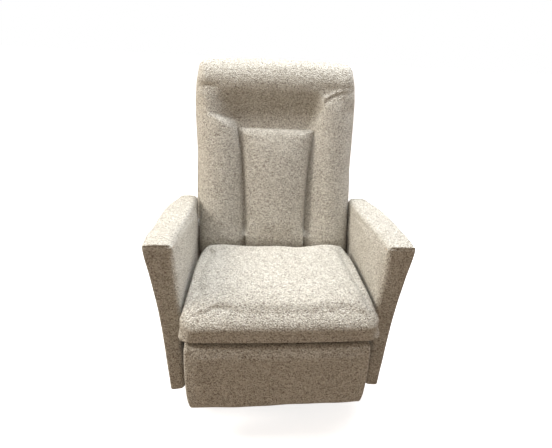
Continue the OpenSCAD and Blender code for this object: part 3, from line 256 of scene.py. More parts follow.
@dataclass(frozen=True)
class Tweed:
    """Oatmeal boucle weave: looped yarns of three tones, weft streaks and dark flecks.

    Attributes:
        name: name of the material.
        light: tone of the palest loops.
        middle: tone of most loops.
        dark: tone of the darkest loops.
        fleck: tone of the flecks.
        yarn_per_m: loops in a metre.
        fleck_per_m: places for a fleck in a metre.
        fleck_share: how much of the cloth a fleck hides.
        strand_per_m: waves of the loops' strands in a metre.
        weft_per_m: waves of the weft streaks in a metre, along each axis.
        patch_per_m: waves of the broad, slightly darker patches in a metre.
        knot_per_m: waves of the raised knots in a metre.
        stretch: how the loops are flattened, along each axis.
        stray: how far the weave strays from straight lines, in metres.
        stray_per_m: waves of that straying in a metre.
        depth: depth of the relief in metres.
    """

    name: str = "oatmeal_tweed"
    light: Colour = (0.88, 0.86, 0.78)
    middle: Colour = (0.65, 0.615, 0.535)
    dark: Colour = (0.235, 0.20, 0.16)
    fleck: Colour = (0.10, 0.08, 0.06)
    yarn_per_m: float = 450.0
    fleck_per_m: float = 280.0
    fleck_share: float = 0.8
    strand_per_m: float = 620.0
    weft_per_m: tuple[float, float, float] = (44.0, 300.0, 300.0)
    patch_per_m: float = 22.0
    knot_per_m: float = 240.0
    stretch: tuple[float, float, float] = (0.92, 1.06, 1.06)
    stray: float = 0.004
    stray_per_m: float = 70.0
    depth: float = 0.0036

    def jitter(self, tree: ShaderTree, at: Wire) -> Wire:
        """Object coordinates with their straight lines broken up."""
        drift = tree.noise(at, self.stray_per_m, 2.0, output=1)
        small = tree.wire("ShaderNodeVectorMath", 0, {"operation": "SCALE"}, {0: drift, "Scale": self.stray})
        return tree.wire("ShaderNodeVectorMath", 0, {"operation": "ADD"}, {0: at, 1: small})

    def material(self) -> bpy.types.Material:
        """Builds the cloth's material."""
        tree = ShaderTree(self.name)
        plain = tree.place()
        at = self.jitter(tree, plain)
        flat = self.jitter(tree, tree.place(self.stretch))
        loops = tree.cells(flat, self.yarn_per_m, feature="SMOOTH_F1")
        tone = tree.channel(tree.cells(flat, self.yarn_per_m, output="Color"), 0)
        strand = tree.noise(at, self.strand_per_m, 2.0)
        weft = tree.noise(tree.place(self.weft_per_m), 1.0, 2.0)
        patches = tree.noise(plain, self.patch_per_m, 3.0)
        fleck_tone = tree.channel(tree.cells(at, self.fleck_per_m, output="Color"), 1)
        fleck = fleck_tone.step(0.74, 0.82) * (1 - tree.cells(at, self.fleck_per_m).step(0.20, 0.46))
        colour = tree.mix(tone.step(0.10, 0.38), self.dark, self.middle)
        for share, over in (
            (tone.step(0.52, 0.86), self.light),
            (weft.step(0.56, 0.70) * 0.16, self.dark),
            (weft.step(0.46, 0.32) * 0.24, self.light),
            (strand.step(0.52, 0.72) * 0.30, self.dark),
            (patches.step(0.52, 0.70) * 0.10, self.dark),
            (fleck * self.fleck_share, self.fleck),
        ):
            colour = tree.mix(share, colour, over)
        knots = tree.noise(at, self.knot_per_m, 1.0)
        relief = (1 - loops) * 0.6 + knots * 1.3 + strand * 0.2 + weft * 0.15
        surface = {"Base Color": colour, "Roughness": 0.95, "Sheen Weight": 0.15, "Sheen Roughness": 0.6,
                   "Specular IOR Level": 0.12}
        return tree.finish(surface, relief, self.depth, 1.0)


@dataclass(frozen=True)
class Coating:
    """Powder coat, plating or a moulded plastic: one colour with a fine grain.

    Attributes:
        name: name of the material.
        colour: its colour where it is clean.
        roughness: its mean roughness.
        metallic: 1 for a metal.
        grain_per_m: waves of the grain in a metre.
        grain_depth: depth of the grain in metres.
        cloud_per_m: waves of its dull clouds in a metre.
        shade: how dark the clouds are, as a share of the colour.
        rough_span: how far the clouds change the roughness.
    """

    name: str
    colour: Colour
    roughness: float = 0.45
    metallic: float = 0.0
    grain_per_m: float = 900.0
    grain_depth: float = 0.00015
    cloud_per_m: float = 14.0
    shade: float = 0.72
    rough_span: float = 0.16

    def material(self) -> bpy.types.Material:
        """Builds the coating's material."""
        tree = ShaderTree(self.name)
        at = tree.place()
        grain = tree.noise(at, self.grain_per_m, 2.0)
        cloud = tree.noise(at, self.cloud_per_m, 4.0)
        dull = tuple(channel * self.shade for channel in self.colour)
        colour = tree.mix(cloud.step(0.35, 0.75) * 0.35, self.colour, dull)
        rough = cloud * self.rough_span + (self.roughness - self.rough_span / 2)
        surface = {"Base Color": colour, "Roughness": rough, "Metallic": self.metallic}
        return tree.finish(surface, grain, self.grain_depth, 0.6)


@dataclass(frozen=True)
class Timber:
    """Sawn softwood or plywood with growth rings.

    Attributes:
        name: name of the material.
        early: tone of the early wood.
        late: tone of the late wood.
        rings_per_m: growth rings in a metre.
        stretch: how the rings are drawn out, along each axis.
        fibre_per_m: waves of the fibres in a metre, along each axis.
    """

    name: str = "frame_timber"
    early: Colour = (0.64, 0.46, 0.28)
    late: Colour = (0.42, 0.27, 0.14)
    rings_per_m: float = 38.0
    stretch: tuple[float, float, float] = (1.0, 5.0, 0.6)
    fibre_per_m: tuple[float, float, float] = (240.0, 240.0, 9.0)

    def material(self) -> bpy.types.Material:
        """Builds the timber's material."""
        tree = ShaderTree(self.name)
        at = tree.place(self.stretch)
        waves = {"Vector": at, "Scale": self.rings_per_m, "Distortion": 7.0, "Detail": 3.0,
                 "Detail Scale": 1.2}
        rings = tree.wire("ShaderNodeTexWave", 1, {"wave_type": "RINGS"}, waves)
        fibre = tree.noise(tree.place(self.fibre_per_m), 1.0, 3.0)
        colour = tree.mix(rings.step(0.25, 0.9) * 0.7, self.early, self.late)
        colour = tree.mix(fibre.step(0.5, 0.8) * 0.3, colour, self.late)
        return tree.finish({"Base Color": colour, "Roughness": 0.7}, fibre, 0.0003, 0.7)


# Forms of the soft pieces


def smooth(value: Array, low: float, high: float) -> Array:
    """Eases from 0 at low to 1 at high, for arrays."""
    share = np.clip((value - low) / (high - low), 0.0, 1.0)
    return share * share * (3.0 - 2.0 * share)


def hump(value: Array, middle: float, width: float) -> Array:
    """A bell of height 1 about a middle, for arrays."""
    return np.exp(-(((value - middle) / width) ** 2))


def curve(value: Array, *rows: tuple[float, float]) -> Array:
    """Reads a table of places and sizes along a smooth curve through its rows.

    Args:
        value: places to read it at.
        rows: pairs of place and size, in rising order.

    Returns:
        The sizes, level beyond the first and the last row.
    """
    places, sizes = np.array(rows).T
    slopes = np.gradient(sizes, places)
    slopes[0] = slopes[-1] = 0.0
    at = np.clip(value, places[0], places[-1])
    row = np.clip(np.searchsorted(places, at, side="right") - 1, 0, len(places) - 2)
    span = places[row + 1] - places[row]
    t = (at - places[row]) / span
    return (
        sizes[row] * (1 + 2 * t) * (1 - t) ** 2
        + slopes[row] * span * t * (1 - t) ** 2
        + sizes[row + 1] * t * t * (3 - 2 * t)
        - slopes[row + 1] * span * t * t * (1 - t)
    )


def edge_fall(gap: Array, reach: float | Array, power: float) -> Array:
    """Falls from 1 at an edge to 0 at a distance from it.

    Args:
        gap: distance from the edge.
        reach: distance at which nothing is left.
        power: how steeply it starts.

    Returns:
        The share that is left.
    """
    return (1 - np.clip(gap / reach, 0, 1)) ** power


def within(x: Array, limit: float | Array) -> Array:
    """Holds places across the chair to a half width."""
    return np.sign(x) * np.minimum(np.abs(x), limit)


def tighten(unit: Array, power: float) -> Array:
    """Draws values between -1 and 1 towards both ends, so that the edges get finer cells."""
    return np.sign(unit) * (1 - (1 - np.abs(unit)) ** power)


@dataclass(frozen=True)
class Fold:
    """A narrow fold or ridge that runs along a line on a cover.

    Attributes:
        depth: how deep it goes, in metres, and less than 0 for a ridge.
        width: how far it reaches to each side.
        route: corners of its line.
    """

    depth: float
    width: float
    route: Rows

    def relief(self, x: Array, y: Array) -> Array:
        """Depth of the fold.

        Args:
            x: first coordinate of each point.
            y: second coordinate of each point.

        Returns:
            The full depth on the line and 0 away from it, fading at both ends.
        """
        best = np.full(len(x), np.inf)
        along = np.zeros(len(x))
        done = 0.0
        total = sum(math.dist(a, b) for a, b in zip(self.route, self.route[1:]))
        for (ax, ay), (bx, by) in zip(self.route, self.route[1:]):
            length = math.dist((ax, ay), (bx, by))
            t = np.clip(((x - ax) * (bx - ax) + (y - ay) * (by - ay)) / length**2, 0, 1)
            gap = np.hypot(x - ax - t * (bx - ax), y - ay - t * (by - ay))
            along = np.where(gap < best, (done + t * length) / total, along)
            best = np.minimum(best, gap)
            done += length
        ends = np.sin(np.pi * np.clip(along, 0.02, 0.98)) ** 0.5
        return self.depth * (np.exp(-((best / self.width) ** 2)) * ends)


def stack(*columns: float | Array) -> Array:
    """Rows of the given columns, each an array or one number for every row."""
    return np.column_stack(np.broadcast_arrays(*columns))


def read(items: bpy.types.bpy_prop_collection, key: str) -> Array:
    """Reads a vector of every item of a mesh as rows x, y, z."""
    flat = np.empty(len(items) * 3)
    items.foreach_get(key, flat)
    return flat.reshape(-1, 3)


def points_of(piece: bpy.types.Object) -> Array:
    """The piece's vertices."""
    return read(piece.data.vertices, "co")


def set_points(piece: bpy.types.Object, points: Array) -> None:
    """Writes the piece's vertices back."""
    piece.data.vertices.foreach_set("co", points.ravel())
    piece.data.update()


def normals_of(piece: bpy.types.Object) -> Array:
    """The piece's vertex normals."""
    return read(piece.data.vertex_normals, "vector")


def piece_from(name: str, mesh: bmesh.types.BMesh) -> bpy.types.Object:
    """Makes an object of a bmesh, smooth shaded, with its faces pointing out.

    Args:
        name: name of the object.
        mesh: the bmesh, which is freed.

    Returns:
        The new object, linked to the scene.
    """
    bmesh.ops.recalc_face_normals(mesh, faces=mesh.faces)
    data = bpy.data.meshes.new(name)
    for face in mesh.faces:
        face.smooth = True
    mesh.to_mesh(data)
    mesh.free()
    made = bpy.data.objects.new(name, data)
    bpy.context.scene.collection.objects.link(made)
    return made


def apply_modifier(piece: bpy.types.Object, modifier: bpy.types.Modifier) -> None:
    """Applies one modifier of a piece."""
    bpy.context.view_layer.objects.active = piece
    with bpy.context.temp_override(object=piece, active_object=piece, selected_objects=[piece]):
        bpy.ops.object.modifier_apply(modifier=modifier.name)


@dataclass(frozen=True)
class Filling:
    """How a padded piece is stuffed: a coarse copy swells as cloth and carries the fine piece along.

    Attributes:
        most: how far a point may move, in metres.
        voxel: size of the coarse copy's faces, in metres.
        pressure: pressure of the filling.
        frames: length of the simulation.
        tension: stiffness of the cloth when it is stretched.
        bending: stiffness of the cloth when it is bent.
        steps: steps of the simulation in a frame.
        mass: mass of a point of the cloth.
        slide: share of a move along the surface that is kept.
        sink: how far the cloth may draw the piece in, in metres.
        neighbours: points of the copy that carry one point of the piece.
        blur: points of the copy over which its moves are evened out.
        quick_share: share of the room that is taken where the simulation is skipped; not used.
    """

    most: float = 0.014
    voxel: float = 0.009
    pressure: float = 4.0
    frames: int = 20
    tension: float = 15.0
    bending: float = 2.0
    steps: int = 5
    mass: float = 0.3
    slide: float = 0.5
    sink: float = 0.0012
    neighbours: int = 6
    blur: int = 40
    quick_share: float = 0.8

    def coarse(self, piece: bpy.types.Object) -> bpy.types.Object:
        """A copy of the piece with an even, coarse mesh."""
        copy = bpy.data.objects.new(piece.name + "_stuffing", piece.data.copy())
        bpy.context.scene.collection.objects.link(copy)
        even = copy.modifiers.new("even", "REMESH")
        even.mode = "VOXEL"
        even.voxel_size = self.voxel
        apply_modifier(copy, even)
        return copy

    def swell(self, copy: bpy.types.Object, weights: Array) -> Array:
        """Runs the simulation on the coarse copy.

        Args:
            copy: the coarse copy.
            weights: 1 for each of its points that is held, and 0 where the cloth is free.

        Returns:
            How far each of its points moved.
        """
        before = points_of(copy)
        group = copy.vertex_groups.new(name="held")
        rounded_weights = np.round(weights, 1)
        for share in np.unique(rounded_weights):
            if share > 0:
                rows = [int(row) for row in np.nonzero(rounded_weights == share)[0]]
                group.add(rows, float(share), "REPLACE")
        cloth = copy.modifiers.new("stuffing", "CLOTH")
        cloth.settings.effector_weights.gravity = 0.0
        for key, value in {
            "quality": self.steps,
            "mass": self.mass,
            "tension_stiffness": self.tension,
            "compression_stiffness": self.tension,
            "shear_stiffness": self.tension / 3,
            "bending_stiffness": self.bending,
            "use_pressure": True,
            "uniform_pressure_force": self.pressure,
            "vertex_group_mass": "held",
        }.items():
            setattr(cloth.settings, key, value)
        cloth.collision_settings.use_collision = False
        cloth.point_cache.frame_start = 1
        cloth.point_cache.frame_end = self.frames
        scene = bpy.context.scene
        for number in range(1, self.frames + 1):
            scene.frame_set(number)
        swollen = copy.evaluated_get(bpy.context.evaluated_depsgraph_get()).to_mesh()
        after = read(swollen.vertices, "co")
        scene.frame_set(1)
        return after - before

    @staticmethod
    def carry(places: Array, moves: Array, points: Array, count: int, reach: float) -> Array:
        """Reads the coarse copy's moves at other points.

        Args:
            places: points of the copy before it swelled.
            moves: how far they moved.
            points: the points to read them at.
            count: how many of the nearest places each point is a mean of.
            reach: distance over which a place counts for less, in metres.

        Returns:
            The moves at the points.
        """
        tree = KDTree(len(places))
        for number, place in enumerate(places):
            tree.insert(place, number)
        tree.balance()
        rows = np.empty((len(points), count), int)
        gaps = np.empty((len(points), count))
        for number, point in enumerate(points):
            for column, (_, row, gap) in enumerate(tree.find_n(point, count)):
                rows[number, column] = row
                gaps[number, column] = gap
        shares = 1 / (gaps + reach) ** 2
        shares /= shares.sum(axis=1, keepdims=True)
        return (moves[rows] * shares[:, :, None]).sum(axis=1)

    def stuff(self, piece: bpy.types.Object, held: Field, room: Field) -> None:
        """Swells the piece and keeps its held parts where they are.

        Args:
            piece: the unstuffed piece.
            held: gives 1 for each point that is held, and 0 where the cloth is free.
            room: gives how far each point may move, in metres.
        """
        points = points_of(piece)
        most = room(points)[:, None]
        copy = self.coarse(piece)
        places = points_of(copy)
        even = self.carry(places, self.swell(copy, held(places)), places, self.blur, 2 * self.voxel)
        moves = self.carry(places, even, points, self.neighbours, self.voxel / 4)
        bpy.data.objects.remove(copy)
        outward = normals_of(piece)
        ahead = (moves * outward).sum(axis=1, keepdims=True)
        moves = moves * self.slide + outward * (np.maximum(ahead, -self.sink) - ahead * self.slide)
        length = np.linalg.norm(moves, axis=1, keepdims=True)
        moves *= most * np.tanh(length / most) / np.maximum(length, 1e-9)
        set_points(piece, points + moves * (1 - np.clip(held(points), 0, 1))[:, None])


@dataclass(frozen=True)
class Lean:
    """The backrest's own axes: depth runs rearwards from the frame's front, up runs along the back.

    Attributes:
        pivot_y: place of the axes' origin from front to rear.
        pivot_z: its height.
        degrees: how far the back leans.
    """

    pivot_y: float = 0.170
    pivot_z: float = 0.318
    degrees: float = 19.0

    def turn(self) -> tuple[float, float]:
        """Sine and cosine of the lean."""
        return math.sin(math.radians(self.degrees)), math.cos(math.radians(self.degrees))

    def world(self, x: Array, depth: Array, up: Array) -> Array:
        """Puts places into the chair's frame, as rows x, y, z."""
        sine, cosine = self.turn()
        return stack(x, self.pivot_y + depth * cosine + up * sine, self.pivot_z + up * cosine - depth * sine)

    def local(self, points: Array) -> tuple[Array, ...]:
        """Gives x, depth and up for places in the chair's frame."""
        sine, cosine = self.turn()
        x, y, z = points.T
        y, z = y - self.pivot_y, z - self.pivot_z
        return x, y * cosine - z * sine, y * sine + z * cosine


LEAN = Lean()


def between_arms(x: Array, y: Array, up: Array) -> Array:
    """Holds the back's pieces to the width between the arms, above and behind which they widen.

    Args:
        x: places across the chair.
        y: places from front to rear.
        up: places along the back.

    Returns:
        The places across the chair, clear of the arms.
    """
    free = np.maximum(smooth(up, 0.285, 0.33), smooth(y, 0.244, 0.264))
    return within(x, 0.2943 + 0.05 * free)


def rounded(unit: Array, low: Array, high: Array, near: Array, far: Array) -> Array:
    """Lays the surface of a cube over a box with round edges.

    Args:
        unit: points of the cube, from -1 to 1.
        low: the box's lowest corner, or one for each point.
        high: the box's highest corner, or one for each point.
        near: radii at the low side of each axis.
        far: radii at the high side of each axis.

    Returns:
        The points on the rounded box.
    """
    at = low + (unit + 1) / 2 * (high - low)
    core = np.minimum(np.maximum(at, low + near), high - far)
    step = at - core
    share = step / np.where(step < 0, near, far)
    length = np.linalg.norm(share, axis=1, keepdims=True)
    return core + step / np.maximum(length, 1e-9)


@dataclass
class PaddedPiece:
    """A padded piece made from a fine cube that a formula lays out.

    Attributes:
        name: name of the piece.
        body: body that it rides on.
        replaces: solids that it stands for.
        filling: how it is stuffed.
        cells: faces along each axis.
        fill: how tight it is, from 0 to 1; not used.
    """

    name: str
    body: str
    replaces: tuple[str, ...]
    filling: Filling
    cells: tuple[int, int, int]
    fill: float = 0.7

    def form(self, unit: Array) -> Array:
        """Places of the cube's points on the unstuffed piece."""
        raise NotImplementedError

    def held(self, points: Array) -> Array:
        """Share by which each point is held while the piece is stuffed."""
        return np.zeros(len(points))

    def room(self, points: Array) -> Array:
        """How far each point may swell, in metres."""
        return np.full(len(points), self.filling.most)

    def sew(self, points: Array) -> Array:
        """Seams, channels and folds, after the piece is stuffed."""
        return points

    def block(self) -> bpy.types.Object:
        """Lays out the unstuffed piece."""
        mesh = bmesh.new()
        bmesh.ops.create_cube(mesh, size=2.0)
        for axis, count in enumerate(self.cells):
            along = [edge for edge in mesh.edges
                     if abs(edge.verts[0].co[axis] - edge.verts[1].co[axis]) > 0.5]
            bmesh.ops.subdivide_edges(mesh, edges=along, cuts=count - 1, use_grid_fill=True)
        piece = piece_from(self.name, mesh)
        set_points(piece, self.form(points_of(piece)))
        return piece

    def build(self, cloth: bpy.types.Material) -> bpy.types.Object:
        """Args:
            cloth: its material.

        Returns:
            The finished piece.
        """
        start = time.time()
        piece = self.block()
        self.filling.stuff(piece, self.held, self.room)
        set_points(piece, self.sew(points_of(piece)))
        piece.data.materials.append(cloth)
        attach(piece, self.body)
        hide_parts(*self.replaces)
        LOG.info("%s: %d points in %.0f s", self.name, len(piece.data.vertices), time.time() - start)
        return piece


@dataclass
class BackCushion(PaddedPiece):
    """Front of the back: head roll over a recess, a bolster down each side and a sewn lumbar panel.

    Attributes:
        low_up: lower end along the back.
        top_up: upper end along the back.
        front: depth of the front's plane.
        rear: depth of the frame side.
        seam_up: place of the seam over the lumbar panel.
        fade_low: where the grooves beside the panel start.
        fade_high: where they reach their full depth.
        panel_share: share of the columns of points that lie on the panel.
        half_rows: half width along the back.
        end_rows: relief of the head roll's ends along the back.
        recess_rows: relief of the hollow and of the head roll's middle along the back.
        folds: folds and ridges, by their places across and along the back.
    """

    low_up: float = 0.020
    top_up: float = 0.790
    front: float = -0.078
    rear: float = -0.003
    seam_up: float = 0.530
    fade_low: float = 0.112
    fade_high: float = 0.150
    panel_share: float = 0.5
    half_rows: Rows = (
        (0.0, 0.294), (0.20, 0.298), (0.30, 0.298), (0.40, 0.301), (0.50, 0.307), (0.60, 0.312),
        (0.69, 0.310), (0.79, 0.300),
    )
    end_rows: Rows = (
        (0.60, 0.010), (0.645, 0.006), (0.675, 0.004), (0.70, 0.010), (0.72, 0.009), (0.745, 0.0),
        (0.79, -0.020),
    )
    recess_rows: Rows = (
        (0.50, -0.044), (0.53, -0.044), (0.56, -0.046), (0.595, -0.042), (0.625, -0.026),
        (0.645, -0.010), (0.665, 0.005), (0.685, 0.013), (0.705, 0.013), (0.735, 0.003), (0.79, -0.024),
    )
    folds: tuple[Fold, ...] = (
        Fold(0.004, 0.0045, ((-0.300, 0.676), (-0.262, 0.679), (-0.222, 0.672))),
        Fold(-0.004, 0.006, ((0.168, 0.615), (0.180, 0.640), (0.204, 0.660), (0.246, 0.677), (0.286, 0.684))),
        Fold(0.0025, 0.007, ((0.176, 0.612), (0.190, 0.634), (0.214, 0.652), (0.252, 0.666))),
        Fold(-0.0016, 0.004, ((-0.199, 0.385), (-0.197, 0.280), (-0.196, 0.185))),
        Fold(0.002, 0.005, ((-0.205, 0.372), (-0.160, 0.366))),
        Fold(0.003, 0.006, ((0.128, 0.500), (0.160, 0.520), (0.176, 0.546))),
    )

    def half(self, up: Array) -> Array:
        """Half width along the back."""
        return curve(up, *self.half_rows)

    def groove(self, up: Array) -> Array:
        """Half width of the lumbar panel along the back, at its grooves."""
        share = np.clip((up - 0.10) / 0.43, -0.2, 1.0)
        return 0.1145 + 0.016 * share + 0.021 * share**4

    def grooved(self, up: Array) -> Array:
        """Share of the grooves' depth along the back, from their lower ends upwards."""
        return smooth(up, self.fade_low, self.fade_high)

    def thinning(self, up: Array) -> Array:
        """Relief by which the pad gets thinner to its lower end."""
        return -0.014 * (1 - smooth(up, 0.02, 0.11))

    def spread(self, share: Array, up: Array) -> Array:
        """Places along the width, so that a column of points follows each groove."""
        groove, half = self.groove(up), self.half(up)
        size = np.abs(share)
        inner = size / self.panel_share * groove
        outer = groove + (size - self.panel_share) / (1 - self.panel_share) * (half - groove)
        return np.sign(share) * np.where(size < self.panel_share, inner, outer)

    def bolster(self, x: Array, up: Array) -> Array:
        """Relief of the side bolsters and of the head roll's ends."""
        size = np.abs(x)
        roll = 0.014 - 0.034 * ((size - 0.215) / 0.09) ** 2
        edge = -0.016 * edge_fall(size - self.groove(up), 0.034, 2.2) * self.grooved(up)
        share = smooth(up, 0.590, 0.665)
        return (roll + edge) * (1 - share) + curve(up, *self.end_rows) * share + self.thinning(up)

    def panel(self, x: Array, up: Array) -> Array:
        """Relief of the lumbar panel."""
        groove = self.groove(up)
        grooved = self.grooved(up)
        band = 0.022 + 0.020 * smooth(up, 0.36, 0.52)
        side = edge_fall(groove - np.abs(x), band, 1.8) * grooved
        top = edge_fall(self.seam_up - up, 0.040, 2.2)
        crown = 0.005 * (1 - (x / groove) ** 2) + 0.003 * hump(up, 0.36, 0.16)
        low = self.thinning(up) - 0.004 * (1 - grooved)
        return crown + low - 0.030 * (1 - (1 - side) * (1 - 0.9 * top))

    def inside(self, x: Array, up: Array) -> Array:
        """Share by which a place over the seam lies in the hollow rather than on a bolster."""
        left = 0.150 + 0.070 * smooth(up, 0.530, 0.580)
        right = 0.144 + 0.020 * smooth(up, 0.528, 0.600)
        gap = np.abs(x) - np.where(x < 0, left, right)
        soft = np.where(x < 0, 0.062, 0.028)
        soft = soft + 0.090 * smooth(up, 0.66, 0.72)
        return 1 - smooth(gap / soft, -1.0, 0.9)

    def relief(self, x: Array, up: Array) -> Array:
        """How far the front stands ahead of its plane."""
        inside = self.inside(x, up)
        over = curve(up, *self.recess_rows) * inside + self.bolster(x, up) * (1 - inside)
        under = np.where(np.abs(x) < self.groove(up), self.panel(x, up), self.bolster(x, up))
        return np.where(up > self.seam_up + 0.0005, over, under)

    def form(self, unit: Array) -> Array:
        """Rounded slab with its front shaped by the relief."""
        head = smooth(unit[:, 2], 0.55, 0.95)
        end = smooth(np.abs(unit[:, 0]), 0.60, 1.0)
        low = stack(-1.0, self.front, self.low_up)
        high = stack(1.0, self.rear, self.top_up)
        side = 0.15 - 0.035 * head
        near = stack(side, 0.046 + 0.014 * head, 0.030)
        far = stack(side, 0.012, 0.056 - 0.024 * end)
        share, depth, up = rounded(unit, low, high, near, far).T
        x = self.spread(share, up)
        ahead = np.clip((self.rear - depth) / (self.rear - self.front), 0, 1)
        depth = depth - self.relief(x, up) * smooth(ahead, 0.1, 1.0)
        crown = 0.016 * (1 - ((x - 0.04) / 0.34) ** 2) * smooth(up, 0.60, 0.76)
        return LEAN.world(x, depth, up + crown)

    def held(self, points: Array) -> Array:
        """The frame side, the grooves and the seam under the hollow are held."""
        x, depth, up = LEAN.local(points)
        rear = smooth(depth, -0.020, -0.008)
        fade = self.grooved(up) * (1 - smooth(up, 0.532, 0.540))
        grooves = (1 - smooth(np.abs(np.abs(x) - self.groove(up)), 0.003, 0.014)) * fade
        seam = (1 - smooth(np.abs(up - self.seam_up), 0.003, 0.014)) * (1 - smooth(np.abs(x), 0.142, 0.150))
        hollow = 0.6 * self.inside(x, up) * smooth(up, 0.530, 0.534) * (1 - smooth(up, 0.60, 0.66))
        return np.maximum.reduce([rear, grooves, seam, hollow])

    def room(self, points: Array) -> Array:
        """Less room at the arms."""
        x, _, up = LEAN.local(points)
        low = 1 - smooth(up, 0.26, 0.33)
        side = smooth(np.abs(x), 0.24, 0.262)
        return self.filling.most * (1 - 0.5 * low * side)

    def sew(self, points: Array) -> Array:
        """Draws the grooves and the seam in, and adds the folds that the photograph shows."""
        x, depth, up = LEAN.local(points)
        ahead = smooth(-depth, 0.030, 0.060)
        fade = self.grooved(up) * (1 - smooth(up, self.seam_up, self.seam_up + 0.004))
        pull = 0.010 * np.exp(-np.abs(np.abs(x) - self.groove(up)) / 0.005) * fade
        pull += 0.012 * np.exp(-np.abs(up - self.seam_up) / 0.004) * (1 - smooth(np.abs(x), 0.136, 0.148))
        for fold in (*self.folds, *self.groove_ends()):
            pull += fold.relief(x, up)
        depth = depth + pull * ahead
        x = between_arms(x, points[:, 1], up)
        depth = np.maximum(depth, -0.0905 - 0.06 * smooth(up, 0.09, 0.17))
        return LEAN.world(x, depth, up)

    def groove_ends(self) -> list[Fold]:
        """The ridge and the fold where each groove runs out at its lower end."""
        folds = []
        for side, turn in ((-1, -0.030), (1, 0.030)):
            end = side * float(self.groove(np.array(self.fade_low)))
            folds.append(Fold(-0.004, 0.008, ((end - 0.6 * turn, 0.150), (end, 0.112), (end + turn, 0.092))))
            folds.append(Fold(0.003, 0.007, ((end + 0.2 * turn, 0.140), (end + 1.1 * turn, 0.118))))
        return folds


@dataclass
class OuterBack(PaddedPiece):
    """Cover of the back's rear and sides.

    Attributes:
        low_up: lower end along the back.
        top_up: upper end along the back.
        front: depth of its open front.
        rear: depth of its rear face.
        half_rows: half width along the back.
    """

    low_up: float = 0.020
    top_up: float = 0.752
    front: float = -0.0025
    rear: float = 0.056
    half_rows: Rows = (
        (0.0, 0.292), (0.12, 0.304), (0.276, 0.307), (0.48, 0.306), (0.62, 0.306), (0.79, 0.296),
    )

    def form(self, unit: Array) -> Array:
        """Rounded slab behind the wooden frame."""
        low = stack(-1.0, self.front, self.low_up)
        high = stack(1.0, self.rear, self.top_up)
        near = stack(0.09, 0.004, 0.008)
        far = stack(0.09, 0.030, 0.045)
        x, depth, up = rounded(tighten(unit, 1.2), low, high, near, far).T
        half = curve(up, *self.half_rows)
        depth = depth + 0.004 * (1 - x * x) * smooth(depth, 0.03, 0.06)
        up = up + 0.014 * (1 - x * x) * smooth(up, 0.60, 0.75)
        return LEAN.world(x * half, depth, up)

    def held(self, points: Array) -> Array:
        """Held along the frame."""
        return 1 - smooth(LEAN.local(points)[1], 0.002, 0.012)

    def sew(self, points: Array) -> Array:
        """Keeps the sides clear of the arms."""
        x, depth, up = LEAN.local(points)
        return LEAN.world(between_arms(x, points[:, 1], up), depth, up)


